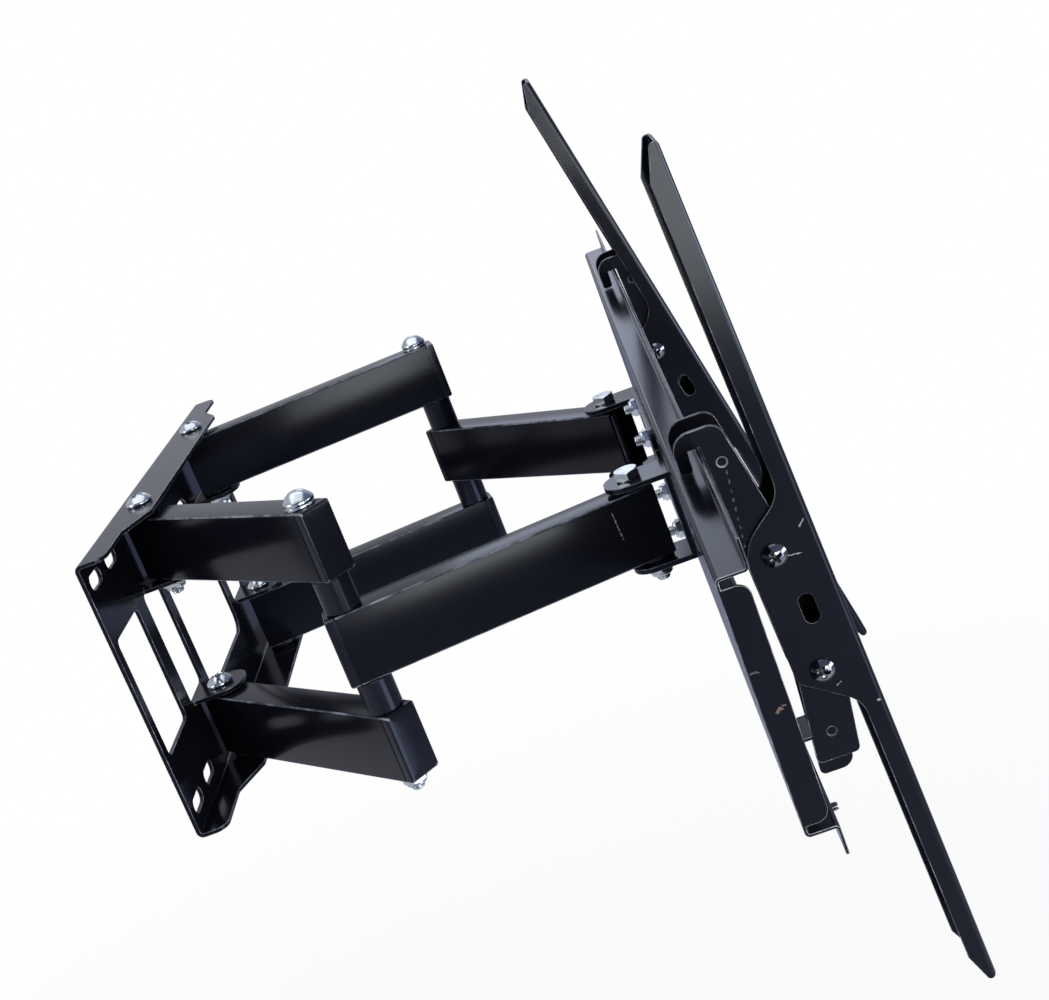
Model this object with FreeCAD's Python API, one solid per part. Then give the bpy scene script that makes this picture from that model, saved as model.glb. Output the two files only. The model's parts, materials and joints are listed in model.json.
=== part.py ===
import FreeCAD, Part
import math
import os

# Swivel wall mount for a flat television, built in the half-open pose of its two folding arms.
# Millimetres. X runs along the wall, +Z is up, the wall is the plane y = 0 and the room is on -Y.
# The origin is the centre of the wall plate's back. Left is -X, as seen from the room.

V = FreeCAD.Vector
X, Y, Z = V(1, 0, 0), V(0, 1, 0), V(0, 0, 1)
SAME = 1e-6                 # lengths closer than this are equal

# Fits
RUNNING_FIT = 0.06          # radial, a bolt that an arm turns on
OPEN_FIT = 0.35             # radial, the pivot that closes the linkage, and sliding slots
BOLT_CLEARANCE = 0.2        # radial, a bolt in a hole that it only clamps
FACE_GAP = 0.1              # between flat faces that turn or slide on each other
PLUG_CLEARANCE = 0.2        # end cap plug inside its tube
CUT_PAST = 1.0              # how far a cut runs past the sheet that it goes through

# Arm tubes
TUBE_H = 40.0
TUBE_W = 20.0
TUBE_WALL = 1.8
TUBE_CORNER = 2.0
ARM_LENGTH = 165.6          # pivot to pivot, inner and outer arm alike
PIVOT_OVERHANG = 9.5        # tube past its pivot at the wall and at the head
ELBOW_OVERHANG = 10.6       # tube past the elbow bolt, without the cap
CAP_FLANGE = 1.9
CAP_ROUND = 0.6
CAP_PLUG = 4.5
CAP_WALL = 1.6
SPACER_H = 20.0
SPACER_D = 20.0

# Pose of the arms: the sideways lean, and the half angle between the two tubes of an arm
LEAN_DEG = -18.0
HALF_ANGLE_DEG = 28.5

# Wall plate
PLATE_W = 372.0
PLATE_T = 2.5
FLANGE_END_DEPTH = 18.0
FLANGE_MID_DEPTH = 30.3
FLANGE_MID_HALF = 113.5     # the deep middle of each flange ends here
FLANGE_FLARE = 28.0         # length along X of the flare down to the end depth
FLANGE_CORNER = 8.0
BEND_INNER = 1.5
PIVOT_HALF = 88.0           # half distance between the arms, the same at the wall and the head
PIVOT_DEPTH = 17.5          # pivot axis from the wall
PIVOT_WASHER_T = 3.0        # between a flange and its tube
EAR_WASHER_T = 1.0          # between a lanced ear and its tube
PIVOT_WASHER_D = 19.0
EAR_W = 31.0
EAR_ROUND = 12.0
WINDOW_CORNER = 4.0
CENTRE_WINDOW_W = 114.0
CENTRE_WINDOW_HALF_H = 51.0
CENTRE_WINDOW_CORNER = 11.0
INNER_STRIP = 12.0
EAR_WINDOW_W = 38.0
OUTER_STRIP = 18.0
END_MARGIN = 8.0
SLOT_LENGTH = 22.0
SLOT_W = 8.5
SLOT_OUTER_X = 167.0
SLOT_INNER_X = 131.0
SLOT_Z = 71.0

# Threaded hardware
M8_D = 8.0
M8_HEAD_D = 16.0
M8_HEAD_H = 4.6
M8_HEX_AF = 13.0
M8_HEX_H = 5.3
M8_NUT_H = 6.5
M6_D = 6.0
M6_HEAD_D = 12.0
M6_HEAD_H = 4.0
M6_HEX_AF = 10.0
M6_NUT_H = 5.0
M5_D = 5.0
M5_HEAD_D = 9.0
M5_HEAD_H = 3.2
M4_D = 4.0
M4_HEAD_D = 7.0
M4_HEAD_H = 2.6
HEAD_EDGE = 0.35            # share of a domed head's height that is straight
RECESS_LENGTH = 0.56        # cross recess, as shares of the head's diameter and height
RECESS_WIDTH = 0.13
RECESS_FLOOR = 0.45
ELBOW_HEAD_D = 17.0
ELBOW_HEAD_H = 5.2
STEEL_WASHER_T = 1.5
NUT_BEVEL = 0.9             # share of a nut's corners that its chamfer takes off
THREAD_END = 3.0            # thread showing past a nut

# Head bracket between the arms and the television rail
HEAD_T = 3.0
HEAD_WASHER_T = 2.2
HEAD_WASHER_D = 19.0
HEAD_EAR_W = 28.0
HEAD_EAR_ROUND = 12.0
HEAD_MID_HALF = 57.0
HEAD_MID_H = 73.0
HEAD_CORNER = 5.0
LEVEL_BOLT_X = 37.0
LEVEL_BOLT_Z = 28.5
LEVEL_WASHER_D = 15.0
LEVEL_RANGE_DEG = 5.0
LEVEL_DEG = 4.1             # roll of the rail in the pose shown
SLOT_MARGIN_DEG = 0.4       # adjusting slots past each end of their range

# Television rail
RAIL_W = 621.0
RAIL_H = 127.0
RAIL_DEPTH = 15.2
RAIL_T = 1.5
RAIL_BACK = 21.3            # rail's back from the head pivots
RAIL_LIP = 13.8
RAIL_BEND = 1.0
END_FLANGE_RELIEF = 4.0
END_FLANGE_CORNER = 6.0
END_FLANGE_SETBACK = 2.4    # end flange behind the rail's front
STOP_SCREW_INSET = 26.5     # stop screw from the rail's end

# Television brackets: a hook bracket on the rail, and a channel that tilts on it
LEFT_BRACKET_X = -190.0
RIGHT_BRACKET_X = 186.0
LEFT_TILT_DEG = 3.3
RIGHT_TILT_DEG = 11.8
TILT_MIN_DEG = -1.0
TILT_MAX_DEG = 12.0
SHEET_T = 2.0
CHANNEL_W = 26.0
CHANNEL_TOP = 216.0
CHANNEL_BOTTOM = -253.0
LEFT_CHEEK_EDGE = 10.3      # depth of the two cheeks at the slim ends
RIGHT_CHEEK_EDGE = 12.0
CHANNEL_CHEEK = 36.0        # depth of the cheeks in the middle
CHEEK_TOP_IN = 42.0         # heights where the cheek's slopes start and end
CHEEK_TOP_OUT = 23.0
CHEEK_BOTTOM_OUT = -52.5
CHEEK_BOTTOM_IN = -74.0
CHEEK_BLEND = 16.0
CHEEK_SHOULDER = 24.0
CHEEK_HEEL = 6.0
TIP_TAPER = 17.0
TIP_W = 4.5
TIP_ROUND = 2.2
CHANNEL_BEND = 3.0
CHANNEL_FRONT = 79.7        # channel's front face from the head pivots, with the tilt at zero
TILT_SCREW_DEPTH = 22.4     # tilt screws behind the channel's front face
TILT_PIVOT_Z = -50.3
TILT_ARM = 65.3             # clamp screw above the pivot screw
WINDOW_SLOT_DEPTH = 17.0
WINDOW_SLOT_Z = -17.4
WINDOW_SLOT_W = 7.5
WINDOW_SLOT_LENGTH = 16.0
SCREEN_PITCH = 400.0        # height of the largest screen hole pattern
SCREEN_HOLE_D = 8.5
SCREEN_SLOT_LENGTH = 46.0
SCREEN_SLOT_SHARES = (0.75, 0.45)   # slots, as shares of the half pitch from the middle
HOOK_TOP = 86.0
HOOK_BACK = 25.0            # hook's outer face from the head pivots
HOOK_TIP_W = 6.2
HOOK_TIP_ROUND = 2.0
HOOK_MOUTH = 6.2
HOOK_MOUTH_ROUND = 0.6
HOOK_TIP_GAP = 3.0          # hook tip above the rail's shelf
HOOK_OUTER_ROUND = 9.0
HOOK_SHOULDER_ROUND = 7.0
HOOK_BOTTOM = -100.0
HOOK_BOTTOM_FRONT = 62.5
HOOK_BOTTOM_BACK = 40.3
HOOK_WAIST_BACK = 45.0      # back edge between the hook and the lower end
HOOK_WAIST_Z = -50.0
HOOK_WAIST_ROUND = 12.0
FOOT_BOTTOM = -119.0        # the right cheek runs down to a foot
FOOT_FRONT = 58.6
FOOT_BACK = 41.0
FOOT_ROUND = 7.0
HOOK_BELLY_Z = -20.0
HOOK_BELLY_ROUND = 12.0
HOOK_WEB_TOP = 70.0
HOOK_WEB_BOTTOM = -72.0
HOOK_STOP_GAP = 0.6         # hook's front edge from the channel's web at full tilt
HOOK_CORNER = 3.0
SIGHT_MARGIN = 0.6          # a hook's sight window past the sweep of the channel's window slot
DIMPLE_D = 5.0
DIMPLE_DEPTH = 0.5
UPPER_DIMPLE = (44.8, 66.8)     # depth and height on the left cheek
LOWER_DIMPLE = (52.1, -84.8)
LOCK_TAB_Z = -86.0
LOCK_TAB_BACK = 26.0
LOCK_TAB_FRONT = 59.5
LOCK_SCREW_BEHIND = 0.8     # lock screw behind the rail's lower lip

# Sizes that follow
BOLT_R = M8_D / 2
TILT_R = M6_D / 2
UPPER_Z = TUBE_H / 2 + SPACER_H                 # underside of the upper tubes
STACK_Z = UPPER_Z + TUBE_H                      # top of the upper tubes
PLATE_HALF_H = STACK_Z + PIVOT_WASHER_T + FACE_GAP + PLATE_T
EAR_Z = UPPER_Z - EAR_WASHER_T - FACE_GAP       # face of each ear that carries a washer
WINDOW_HALF_H = EAR_Z - PLATE_T
INNER_DEG = {"left": LEAN_DEG - HALF_ANGLE_DEG, "right": LEAN_DEG + HALF_ANGLE_DEG}
OUTER_DEG = {"left": LEAN_DEG + HALF_ANGLE_DEG, "right": LEAN_DEG - HALF_ANGLE_DEG}
SIDE = {"left": -1, "right": 1}
BRACKET_X = {"left": LEFT_BRACKET_X, "right": RIGHT_BRACKET_X}
TILT_DEG = {"left": LEFT_TILT_DEG, "right": RIGHT_TILT_DEG}
RAIL_HALF_H = RAIL_H / 2
LIP_TOP = RAIL_HALF_H + RAIL_LIP
RAIL_FRONT = RAIL_BACK + RAIL_DEPTH
STOP_SCREW_X = RAIL_W / 2 - STOP_SCREW_INSET
STOP_SCREW_Z = -(RAIL_HALF_H + LIP_TOP) / 2
HEAD_FRONT = RAIL_BACK - FACE_GAP
HEAD_BACK = HEAD_FRONT - HEAD_T
HEAD_EAR_Z = TUBE_H / 2 + HEAD_WASHER_T + FACE_GAP
HOOK_W = CHANNEL_W - 2 * (SHEET_T + FACE_GAP)
TILT_SCREW = CHANNEL_FRONT - TILT_SCREW_DEPTH
CLAMP_Z = TILT_PIVOT_Z + TILT_ARM


def arm_vector(degrees):
    """Unit vector of an arm: 0 points straight out of the wall, positive towards +X."""
    angle = math.radians(degrees)
    return V(math.sin(angle), -math.cos(angle), 0)


WALL_PIVOT = {s: V(SIDE[s] * PIVOT_HALF, -PIVOT_DEPTH, 0) for s in SIDE}
ELBOW = {s: WALL_PIVOT[s] + arm_vector(INNER_DEG[s]) * ARM_LENGTH for s in SIDE}
HEAD_PIVOT = {s: ELBOW[s] + arm_vector(OUTER_DEG[s]) * ARM_LENGTH for s in SIDE}
HEAD_CENTRE = (HEAD_PIVOT["left"] + HEAD_PIVOT["right"]) * 0.5


# Shape helpers

def box(x0, x1, y0, y1, z0, z1):
    return Part.makeBox(x1 - x0, y1 - y0, z1 - z0, V(x0, y0, z0))


def rod(radius, z0, z1, x=0.0, y=0.0):
    return Part.makeCylinder(radius, z1 - z0, V(x, y, z0), Z)


def out_rod(radius, y0, y1, x, z):
    return Part.makeCylinder(radius, y1 - y0, V(x, y0, z), Y)


def cross_rod(radius, x0, x1, depth, z):
    """Cylinder along X, its place given by its depth in front of the head pivots."""
    return Part.makeCylinder(radius, x1 - x0, V(x0, -depth, z), X)


def outline(corners):
    """Face in the plane z = 0 from corners (x, y) or (x, y, radius), each rounded by its radius."""
    count = len(corners)
    edges, ends = [], []
    for i, corner in enumerate(corners):
        point = V(corner[0], corner[1], 0)
        radius = corner[2] if len(corner) > 2 else 0.0
        if radius <= 0:
            ends.append((point, point))
            continue
        before = corners[i - 1]
        after = corners[(i + 1) % count]
        back = (V(before[0], before[1], 0) - point).normalize()
        ahead = (V(after[0], after[1], 0) - point).normalize()
        half = back.getAngle(ahead) / 2
        start = point + back * (radius / math.tan(half))
        end = point + ahead * (radius / math.tan(half))
        centre = point + (back + ahead).normalize() * (radius / math.sin(half))
        middle = centre + (point - centre).normalize() * radius
        edges.append(Part.Arc(start, middle, end).toShape())
        ends.append((start, end))
    for i in range(count):
        start, end = ends[i - 1][1], ends[i][0]
        if start.distanceToPoint(end) > SAME:
            edges.append(Part.LineSegment(start, end).toShape())
    return Part.Face(Part.Wire(Part.__sortEdges__(edges)))


def rounded_box(width, height, radius):
    """Corners of a rectangle about the origin."""
    w, h = width / 2, height / 2
    return [(-w, -h, radius), (w, -h, radius), (w, h, radius), (-w, h, radius)]


def obround(length, width):
    """Slot-shaped face along x, about the origin."""
    half, r = (length - width) / 2, width / 2
    return Part.Face(Part.Wire([
        Part.makeLine(V(-half, -r, 0), V(half, -r, 0)),
        Part.Arc(V(half, -r, 0), V(half + r, 0, 0), V(half, r, 0)).toShape(),
        Part.makeLine(V(half, r, 0), V(-half, r, 0)),
        Part.Arc(V(-half, r, 0), V(-half - r, 0, 0), V(-half, -r, 0)).toShape(),
    ]))


def stood(face):
    """The face turned a quarter turn in its own plane."""
    turned = face.copy()
    turned.rotate(V(), Z, 90)
    return turned


def flat(corners, z0, z1):
    """Plate lying flat between two heights."""
    return outline(corners).extrude(V(0, 0, z1 - z0)).translate(V(0, 0, z0))


def upright(face, y0, y1, x=0.0, z=0.0):
    """Plate parallel to the wall from a face drawn as (x, z), between two values of y."""
    turned = face.copy()
    turned.rotate(V(), X, 90)
    return turned.extrude(V(0, y1 - y0, 0)).translate(V(x, y0, z))


def across(face, x0, x1, depth=0.0, z=0.0):
    """Plate across X from a face drawn as (depth in front of the head pivots, z)."""
    turned = face.copy()
    turned.rotate(V(), Z, -90)
    turned.rotate(V(), Y, -90)
    return turned.extrude(V(x1 - x0, 0, 0)).translate(V(x0, -depth, z))


def hexagon(across_flats, z0, z1, x=0.0, y=0.0):
    radius = across_flats / math.sqrt(3)
    turns = [2 * math.pi * k / 6 for k in range(6)]
    return flat([(x + radius * math.cos(a), y + radius * math.sin(a)) for a in turns], z0, z1)


def washer(outer, inner, thickness, z, x=0.0, y=0.0):
    hole = rod(inner / 2, z - CUT_PAST, z + thickness + CUT_PAST, x, y)
    return rod(outer / 2, z, z + thickness, x, y).cut(hole)


def dome_screw(diameter, head_d, head_h, length, recess=True):
    """Screw along -Z with the underside of its domed head at z = 0 and, as a rule, a cross recess."""
    reach, edge = head_d / 2, head_h * HEAD_EDGE
    rise = head_h - edge
    ball = (reach ** 2 + rise ** 2) / (2 * rise)
    half = math.asin(reach / ball) / 2
    between = V(ball * math.sin(half), 0, head_h - ball + ball * math.cos(half))
    profile = Part.Wire([
        Part.makeLine(V(0, 0, -length), V(diameter / 2, 0, -length)),
        Part.makeLine(V(diameter / 2, 0, -length), V(diameter / 2, 0, 0)),
        Part.makeLine(V(diameter / 2, 0, 0), V(reach, 0, 0)),
        Part.makeLine(V(reach, 0, 0), V(reach, 0, edge)),
        Part.Arc(V(reach, 0, edge), between, V(0, 0, head_h)).toShape(),
        Part.makeLine(V(0, 0, head_h), V(0, 0, -length)),
    ])
    screw = Part.Face(profile).revolve(V(), Z, 360)
    if recess:
        long, wide = head_d * RECESS_LENGTH / 2, head_d * RECESS_WIDTH / 2
        floor, past = head_h * RECESS_FLOOR, head_h + CUT_PAST
        slits = [box(-long, long, -wide, wide, floor, past), box(-wide, wide, -long, long, floor, past)]
        screw = screw.cut(slits)
    return screw


def hex_bolt(diameter, across_flats, head_h, length):
    """Bolt along -Z with the underside of its hexagon head at z = 0."""
    return hexagon(across_flats, 0, head_h).fuse(rod(diameter / 2, -length, 0))


def nut(diameter, across_flats, height):
    """Nut from z = 0 upwards, with chamfered corners and a plain bore."""
    corner = across_flats / math.sqrt(3)
    bevel = (corner - across_flats / 2) * NUT_BEVEL
    cone = Part.makeCone(corner - bevel, corner + height, height + bevel, V(), Z)
    body = hexagon(across_flats, 0, height).common(cone)
    return body.cut(rod(diameter / 2, -CUT_PAST, height + CUT_PAST))


def placed(shape, x, y, z):
    copy = shape.copy()
    copy.translate(V(x, y, z))
    return copy


def group(shapes):
    return Part.makeCompound(shapes)


PARTS = {}


def add(name, shape):
    PARTS[name] = shape


# Wall plate: one folded sheet with deep flanges for the pivots, lanced ears and a row of windows

def wall_plate():
    half_w, half_h = PLATE_W / 2, PLATE_HALF_H
    body = box(-half_w, half_w, -PLATE_T, 0, -half_h, half_h)
    flare_end = FLANGE_MID_HALF + FLANGE_FLARE
    mid, shallow, deep, r = FLANGE_MID_HALF, -FLANGE_END_DEPTH, -FLANGE_MID_DEPTH, FLANGE_CORNER
    plan = [(-half_w, 0), (half_w, 0), (half_w, shallow, r), (flare_end, shallow, r), (mid, deep, r),
            (-mid, deep, r), (-flare_end, shallow, r), (-half_w, shallow, r)]
    body = body.fuse([flat(plan, half_h - PLATE_T, half_h), flat(plan, -half_h, -half_h + PLATE_T)])
    body = body.removeSplitter()
    inner = long_edges(body, -PLATE_T, half_h - PLATE_T)
    body = body.makeFillet(BEND_INNER, inner)
    body = body.makeFillet(BEND_INNER + PLATE_T, long_edges(body, 0, half_h))

    def window(x0, x1, half_height=WINDOW_HALF_H, corner=WINDOW_CORNER):
        face = outline(rounded_box(x1 - x0, 2 * half_height, corner))
        return upright(face, -PLATE_T - CUT_PAST, CUT_PAST, (x0 + x1) / 2)

    centre = CENTRE_WINDOW_W / 2
    windows = [window(-centre, centre, CENTRE_WINDOW_HALF_H, CENTRE_WINDOW_CORNER)]
    ear_near = centre + INNER_STRIP
    end_near = ear_near + EAR_WINDOW_W + OUTER_STRIP
    for near, far in ((ear_near, ear_near + EAR_WINDOW_W), (end_near, half_w - END_MARGIN)):
        windows += [window(near, far), window(-far, -near)]
    body = body.cut(windows)

    tip = -PIVOT_DEPTH - EAR_W / 2
    ears, holes = [], []
    for side in (-1, 1):
        x = side * PIVOT_HALF
        x0, x1 = x - EAR_W / 2, x + EAR_W / 2
        plan = [(x0, 0), (x1, 0), (x1, tip, EAR_ROUND), (x0, tip, EAR_ROUND)]
        ears += [flat(plan, EAR_Z - PLATE_T, EAR_Z), flat(plan, -EAR_Z, -EAR_Z + PLATE_T)]
        holes.append(rod(BOLT_R + BOLT_CLEARANCE, -half_h - CUT_PAST, half_h + CUT_PAST, x, -PIVOT_DEPTH))
        for slot_x in (SLOT_OUTER_X, SLOT_INNER_X):
            for z in (-SLOT_Z, SLOT_Z):
                slot = obround(SLOT_LENGTH, SLOT_W)
                holes.append(upright(slot, -PLATE_T - CUT_PAST, CUT_PAST, side * slot_x, z))
    return body.fuse(ears).cut(holes).removeSplitter()


def long_edges(shape, y, z):
    """Edges along X at the given y and at plus or minus the given z."""
    found = []
    for edge in shape.Edges:
        box_ = edge.BoundBox
        straight = box_.XLength > PLATE_T and box_.YLength < SAME and box_.ZLength < SAME
        if straight and abs(box_.YMin - y) < SAME and abs(abs(box_.ZMin) - z) < SAME:
            found.append(edge)
    return found


def wall_hardware():
    grip = 2 * PLATE_T + PIVOT_WASHER_T + EAR_WASHER_T + 2 * FACE_GAP + TUBE_H
    bolt = dome_screw(M8_D, M8_HEAD_D, M8_HEAD_H, grip + M8_NUT_H + THREAD_END)
    wall_nut = nut(M8_D, M8_HEX_AF, M8_NUT_H)
    # Each bolt's top, and the thicknesses of its upper and lower washers
    stacks = ((PLATE_HALF_H, PIVOT_WASHER_T, EAR_WASHER_T), (-EAR_Z + PLATE_T, EAR_WASHER_T, PIVOT_WASHER_T))
    bolts, nuts, washers = [], [], []
    for pivot in WALL_PIVOT.values():
        for top, upper_t, lower_t in stacks:
            bolts.append(placed(bolt, pivot.x, pivot.y, top))
            nuts.append(placed(wall_nut, pivot.x, pivot.y, top - grip - M8_NUT_H))
            for thickness, z in ((upper_t, top - PLATE_T - upper_t), (lower_t, top - grip + PLATE_T)):
                washers.append(washer(PIVOT_WASHER_D, M8_D, thickness, z, pivot.x, pivot.y))
    add("wall_pivot_bolts", group(bolts))
    add("wall_pivot_nuts", group(nuts))
    add("wall_pivot_washers", group(washers))


# Arm tubes along -Y from their first pivot at the origin

def tube(y0, y1, z0):
    outer = outline(rounded_box(TUBE_W, TUBE_H, TUBE_CORNER))
    inner = rounded_box(TUBE_W - 2 * TUBE_WALL, TUBE_H - 2 * TUBE_WALL, TUBE_CORNER - TUBE_WALL / 2)
    section = outer.cut(outline(inner))
    section.rotate(V(), X, 90)
    section.translate(V(0, y1, z0 + TUBE_H / 2))
    return section.extrude(V(0, y0 - y1, 0))


def end_cap(y, outwards, z0):
    """Moulded cap on the tube end at y, facing +1 or -1 along Y."""
    middle = z0 + TUBE_H / 2
    flange = outline(rounded_box(TUBE_W, TUBE_H, TUBE_CORNER))
    flange.rotate(V(), X, 90)
    flange.translate(V(0, y, middle))
    cap = flange.extrude(V(0, outwards * CAP_FLANGE, 0))
    face = y + outwards * CAP_FLANGE
    rim = [e for e in cap.Edges if abs(e.BoundBox.YMin - face) < SAME and e.BoundBox.YLength < SAME]
    cap = cap.makeFillet(CAP_ROUND, rim)
    plug_w = TUBE_W - 2 * (TUBE_WALL + PLUG_CLEARANCE)
    plug_h = TUBE_H - 2 * (TUBE_WALL + PLUG_CLEARANCE)
    y0, y1 = sorted((y, y - outwards * CAP_PLUG))
    plug = box(-plug_w / 2, plug_w / 2, y0, y1, middle - plug_h / 2, middle + plug_h / 2)
    hollow_w, hollow_h = plug_w - 2 * CAP_WALL, plug_h - 2 * CAP_WALL
    hollow = box(-hollow_w / 2, hollow_w / 2, y0 - CUT_PAST, y1 + CUT_PAST,
                 middle - hollow_h / 2, middle + hollow_h / 2)
    return cap.fuse(plug.cut(hollow)).removeSplitter()


def posed(shape, degrees, pivot):
    copy = shape.copy()
    copy.rotate(V(), Z, degrees)
    copy.translate(pivot)
    return copy


def pivot_holes(radius_near, radius_far):
    tall = STACK_Z + CUT_PAST
    return [rod(radius_near, -tall, tall), rod(radius_far, -tall, tall, 0, -ARM_LENGTH)]


def inner_arm(side):
    pose = (INNER_DEG[side], WALL_PIVOT[side])
    end = -ARM_LENGTH - ELBOW_OVERHANG
    holes = pivot_holes(BOLT_R + RUNNING_FIT, BOLT_R + BOLT_CLEARANCE)
    caps = []
    for level, z0 in (("upper", UPPER_Z), ("lower", -STACK_Z)):
        add(f"{side}_{level}_inner_tube", posed(tube(end, PIVOT_OVERHANG, z0).cut(holes), *pose))
        caps.append(posed(end_cap(end, -1, z0), *pose))
    add(f"{side}_inner_end_caps", group(caps))

    elbow = ELBOW[side]
    top = STACK_Z + STEEL_WASHER_T
    bolt = dome_screw(M8_D, ELBOW_HEAD_D, ELBOW_HEAD_H, top + STACK_Z + M8_NUT_H + THREAD_END, False)
    add(f"{side}_elbow_bolt", placed(bolt, elbow.x, elbow.y, top))
    add(f"{side}_elbow_washer", washer(ELBOW_HEAD_D, M8_D, STEEL_WASHER_T, STACK_Z, elbow.x, elbow.y))
    add(f"{side}_elbow_nut", placed(nut(M8_D, M8_HEX_AF, M8_NUT_H), elbow.x, elbow.y, -STACK_Z - M8_NUT_H))
    height = SPACER_H - FACE_GAP
    spacers = [washer(SPACER_D, M8_D, height, z, elbow.x, elbow.y) for z in (UPPER_Z - height, -UPPER_Z)]
    add(f"{side}_elbow_spacers", group(spacers))


def outer_arm(side):
    pose = (OUTER_DEG[side], ELBOW[side])
    head_fit = RUNNING_FIT if side == "left" else OPEN_FIT
    holes = pivot_holes(BOLT_R + RUNNING_FIT, BOLT_R + head_fit)
    body = tube(-ARM_LENGTH - PIVOT_OVERHANG, ELBOW_OVERHANG, -TUBE_H / 2)
    add(f"{side}_outer_tube", posed(body.cut(holes), *pose))
    add(f"{side}_outer_end_cap", posed(end_cap(ELBOW_OVERHANG, 1, -TUBE_H / 2), *pose))


# Head bracket: a folded sheet with two pairs of ears, bolted to the rail's back

def at_head(shape):
    return placed(shape, HEAD_CENTRE.x, HEAD_CENTRE.y, 0)


def level_places():
    return [(sx * LEVEL_BOLT_X, sz * LEVEL_BOLT_Z) for sx in (-1, 1) for sz in (-1, 1)]


def head_bracket():
    ear_half = HEAD_EAR_W / 2
    ear_out = HEAD_EAR_Z + HEAD_T
    end = PIVOT_HALF + ear_half
    mid, rise = HEAD_MID_HALF, HEAD_MID_H / 2
    r = HEAD_CORNER
    face = outline([(-end, -ear_out), (-mid, -ear_out), (-mid, -rise, r), (mid, -rise, r), (mid, -ear_out),
                    (end, -ear_out), (end, ear_out), (mid, ear_out), (mid, rise, r), (-mid, rise, r),
                    (-mid, ear_out), (-end, ear_out)])
    plate = upright(face, -HEAD_FRONT, -HEAD_BACK)
    ears, holes = [], []
    for x in (-PIVOT_HALF, PIVOT_HALF):
        plan = [(x - ear_half, -HEAD_FRONT), (x + ear_half, -HEAD_FRONT),
                (x + ear_half, ear_half, HEAD_EAR_ROUND), (x - ear_half, ear_half, HEAD_EAR_ROUND)]
        ears += [flat(plan, HEAD_EAR_Z, ear_out), flat(plan, -ear_out, -HEAD_EAR_Z)]
        holes.append(rod(BOLT_R + BOLT_CLEARANCE, -ear_out - CUT_PAST, ear_out + CUT_PAST, x, 0))
    for x, z in level_places():
        holes.append(out_rod(TILT_R + BOLT_CLEARANCE, -HEAD_FRONT - CUT_PAST, -HEAD_BACK + CUT_PAST, x, z))
    return at_head(plate.fuse(ears).cut(holes).removeSplitter())


def head_hardware():
    top = HEAD_EAR_Z + HEAD_T
    bolt = hex_bolt(M8_D, M8_HEX_AF, M8_HEX_H, 2 * top + M8_NUT_H + THREAD_END)
    bolts, nuts, washers = [], [], []
    for x in (-PIVOT_HALF, PIVOT_HALF):
        bolts.append(placed(bolt, x, 0, top))
        nuts.append(placed(nut(M8_D, M8_HEX_AF, M8_NUT_H), x, 0, -top - M8_NUT_H))
        for z in (TUBE_H / 2 + FACE_GAP, -HEAD_EAR_Z):
            washers.append(washer(HEAD_WASHER_D, M8_D, HEAD_WASHER_T, z, x, 0))
    add("head_pivot_bolts", at_head(group(bolts)))
    add("head_pivot_nuts", at_head(group(nuts)))
    add("head_pivot_washers", at_head(group(washers)))

    # Level bolts run from the room side of the rail back to nuts behind the head bracket
    seat = RAIL_BACK + RAIL_T + FACE_GAP
    grip = seat + STEEL_WASHER_T - HEAD_BACK
    bolt = dome_screw(M6_D, M6_HEAD_D, M6_HEAD_H, grip + M6_NUT_H + THREAD_END)
    bolt.rotate(V(), X, 90)
    disc = washer(LEVEL_WASHER_D, M6_D, STEEL_WASHER_T, 0)
    disc.rotate(V(), X, 90)
    back_nut = nut(M6_D, M6_HEX_AF, M6_NUT_H)
    back_nut.rotate(V(), X, -90)
    places = level_places()
    add("level_bolts", at_head(group([placed(bolt, x, -seat - STEEL_WASHER_T, z) for x, z in places])))
    add("level_washers", at_head(group([placed(disc, x, -seat, z) for x, z in places])))
    add("level_nuts", at_head(group([placed(back_nut, x, -HEAD_BACK, z) for x, z in places])))


# Television rail and what hangs on it, built square to the head and then rolled by the level

def on_rail(shape):
    copy = shape.copy()
    copy.rotate(V(), -Y, LEVEL_DEG)
    copy.translate(HEAD_CENTRE)
    return copy


def arc_slot(radius, middle_deg, half_deg, half_width):
    """Curved slot about the origin in the plane z = 0."""
    inner, outer = radius - half_width, radius + half_width

    def at(r, degrees):
        return V(r * math.cos(math.radians(degrees)), r * math.sin(math.radians(degrees)), 0)

    low, high = middle_deg - half_deg, middle_deg + half_deg
    beyond = math.degrees(half_width / radius)
    wire = Part.Wire([
        Part.Arc(at(outer, low), at(outer, middle_deg), at(outer, high)).toShape(),
        Part.Arc(at(outer, high), at(radius, high + beyond), at(inner, high)).toShape(),
        Part.Arc(at(inner, high), at(inner, middle_deg), at(inner, low)).toShape(),
        Part.Arc(at(inner, low), at(radius, low - beyond), at(outer, low)).toShape(),
    ])
    return Part.Face(wire)


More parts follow.
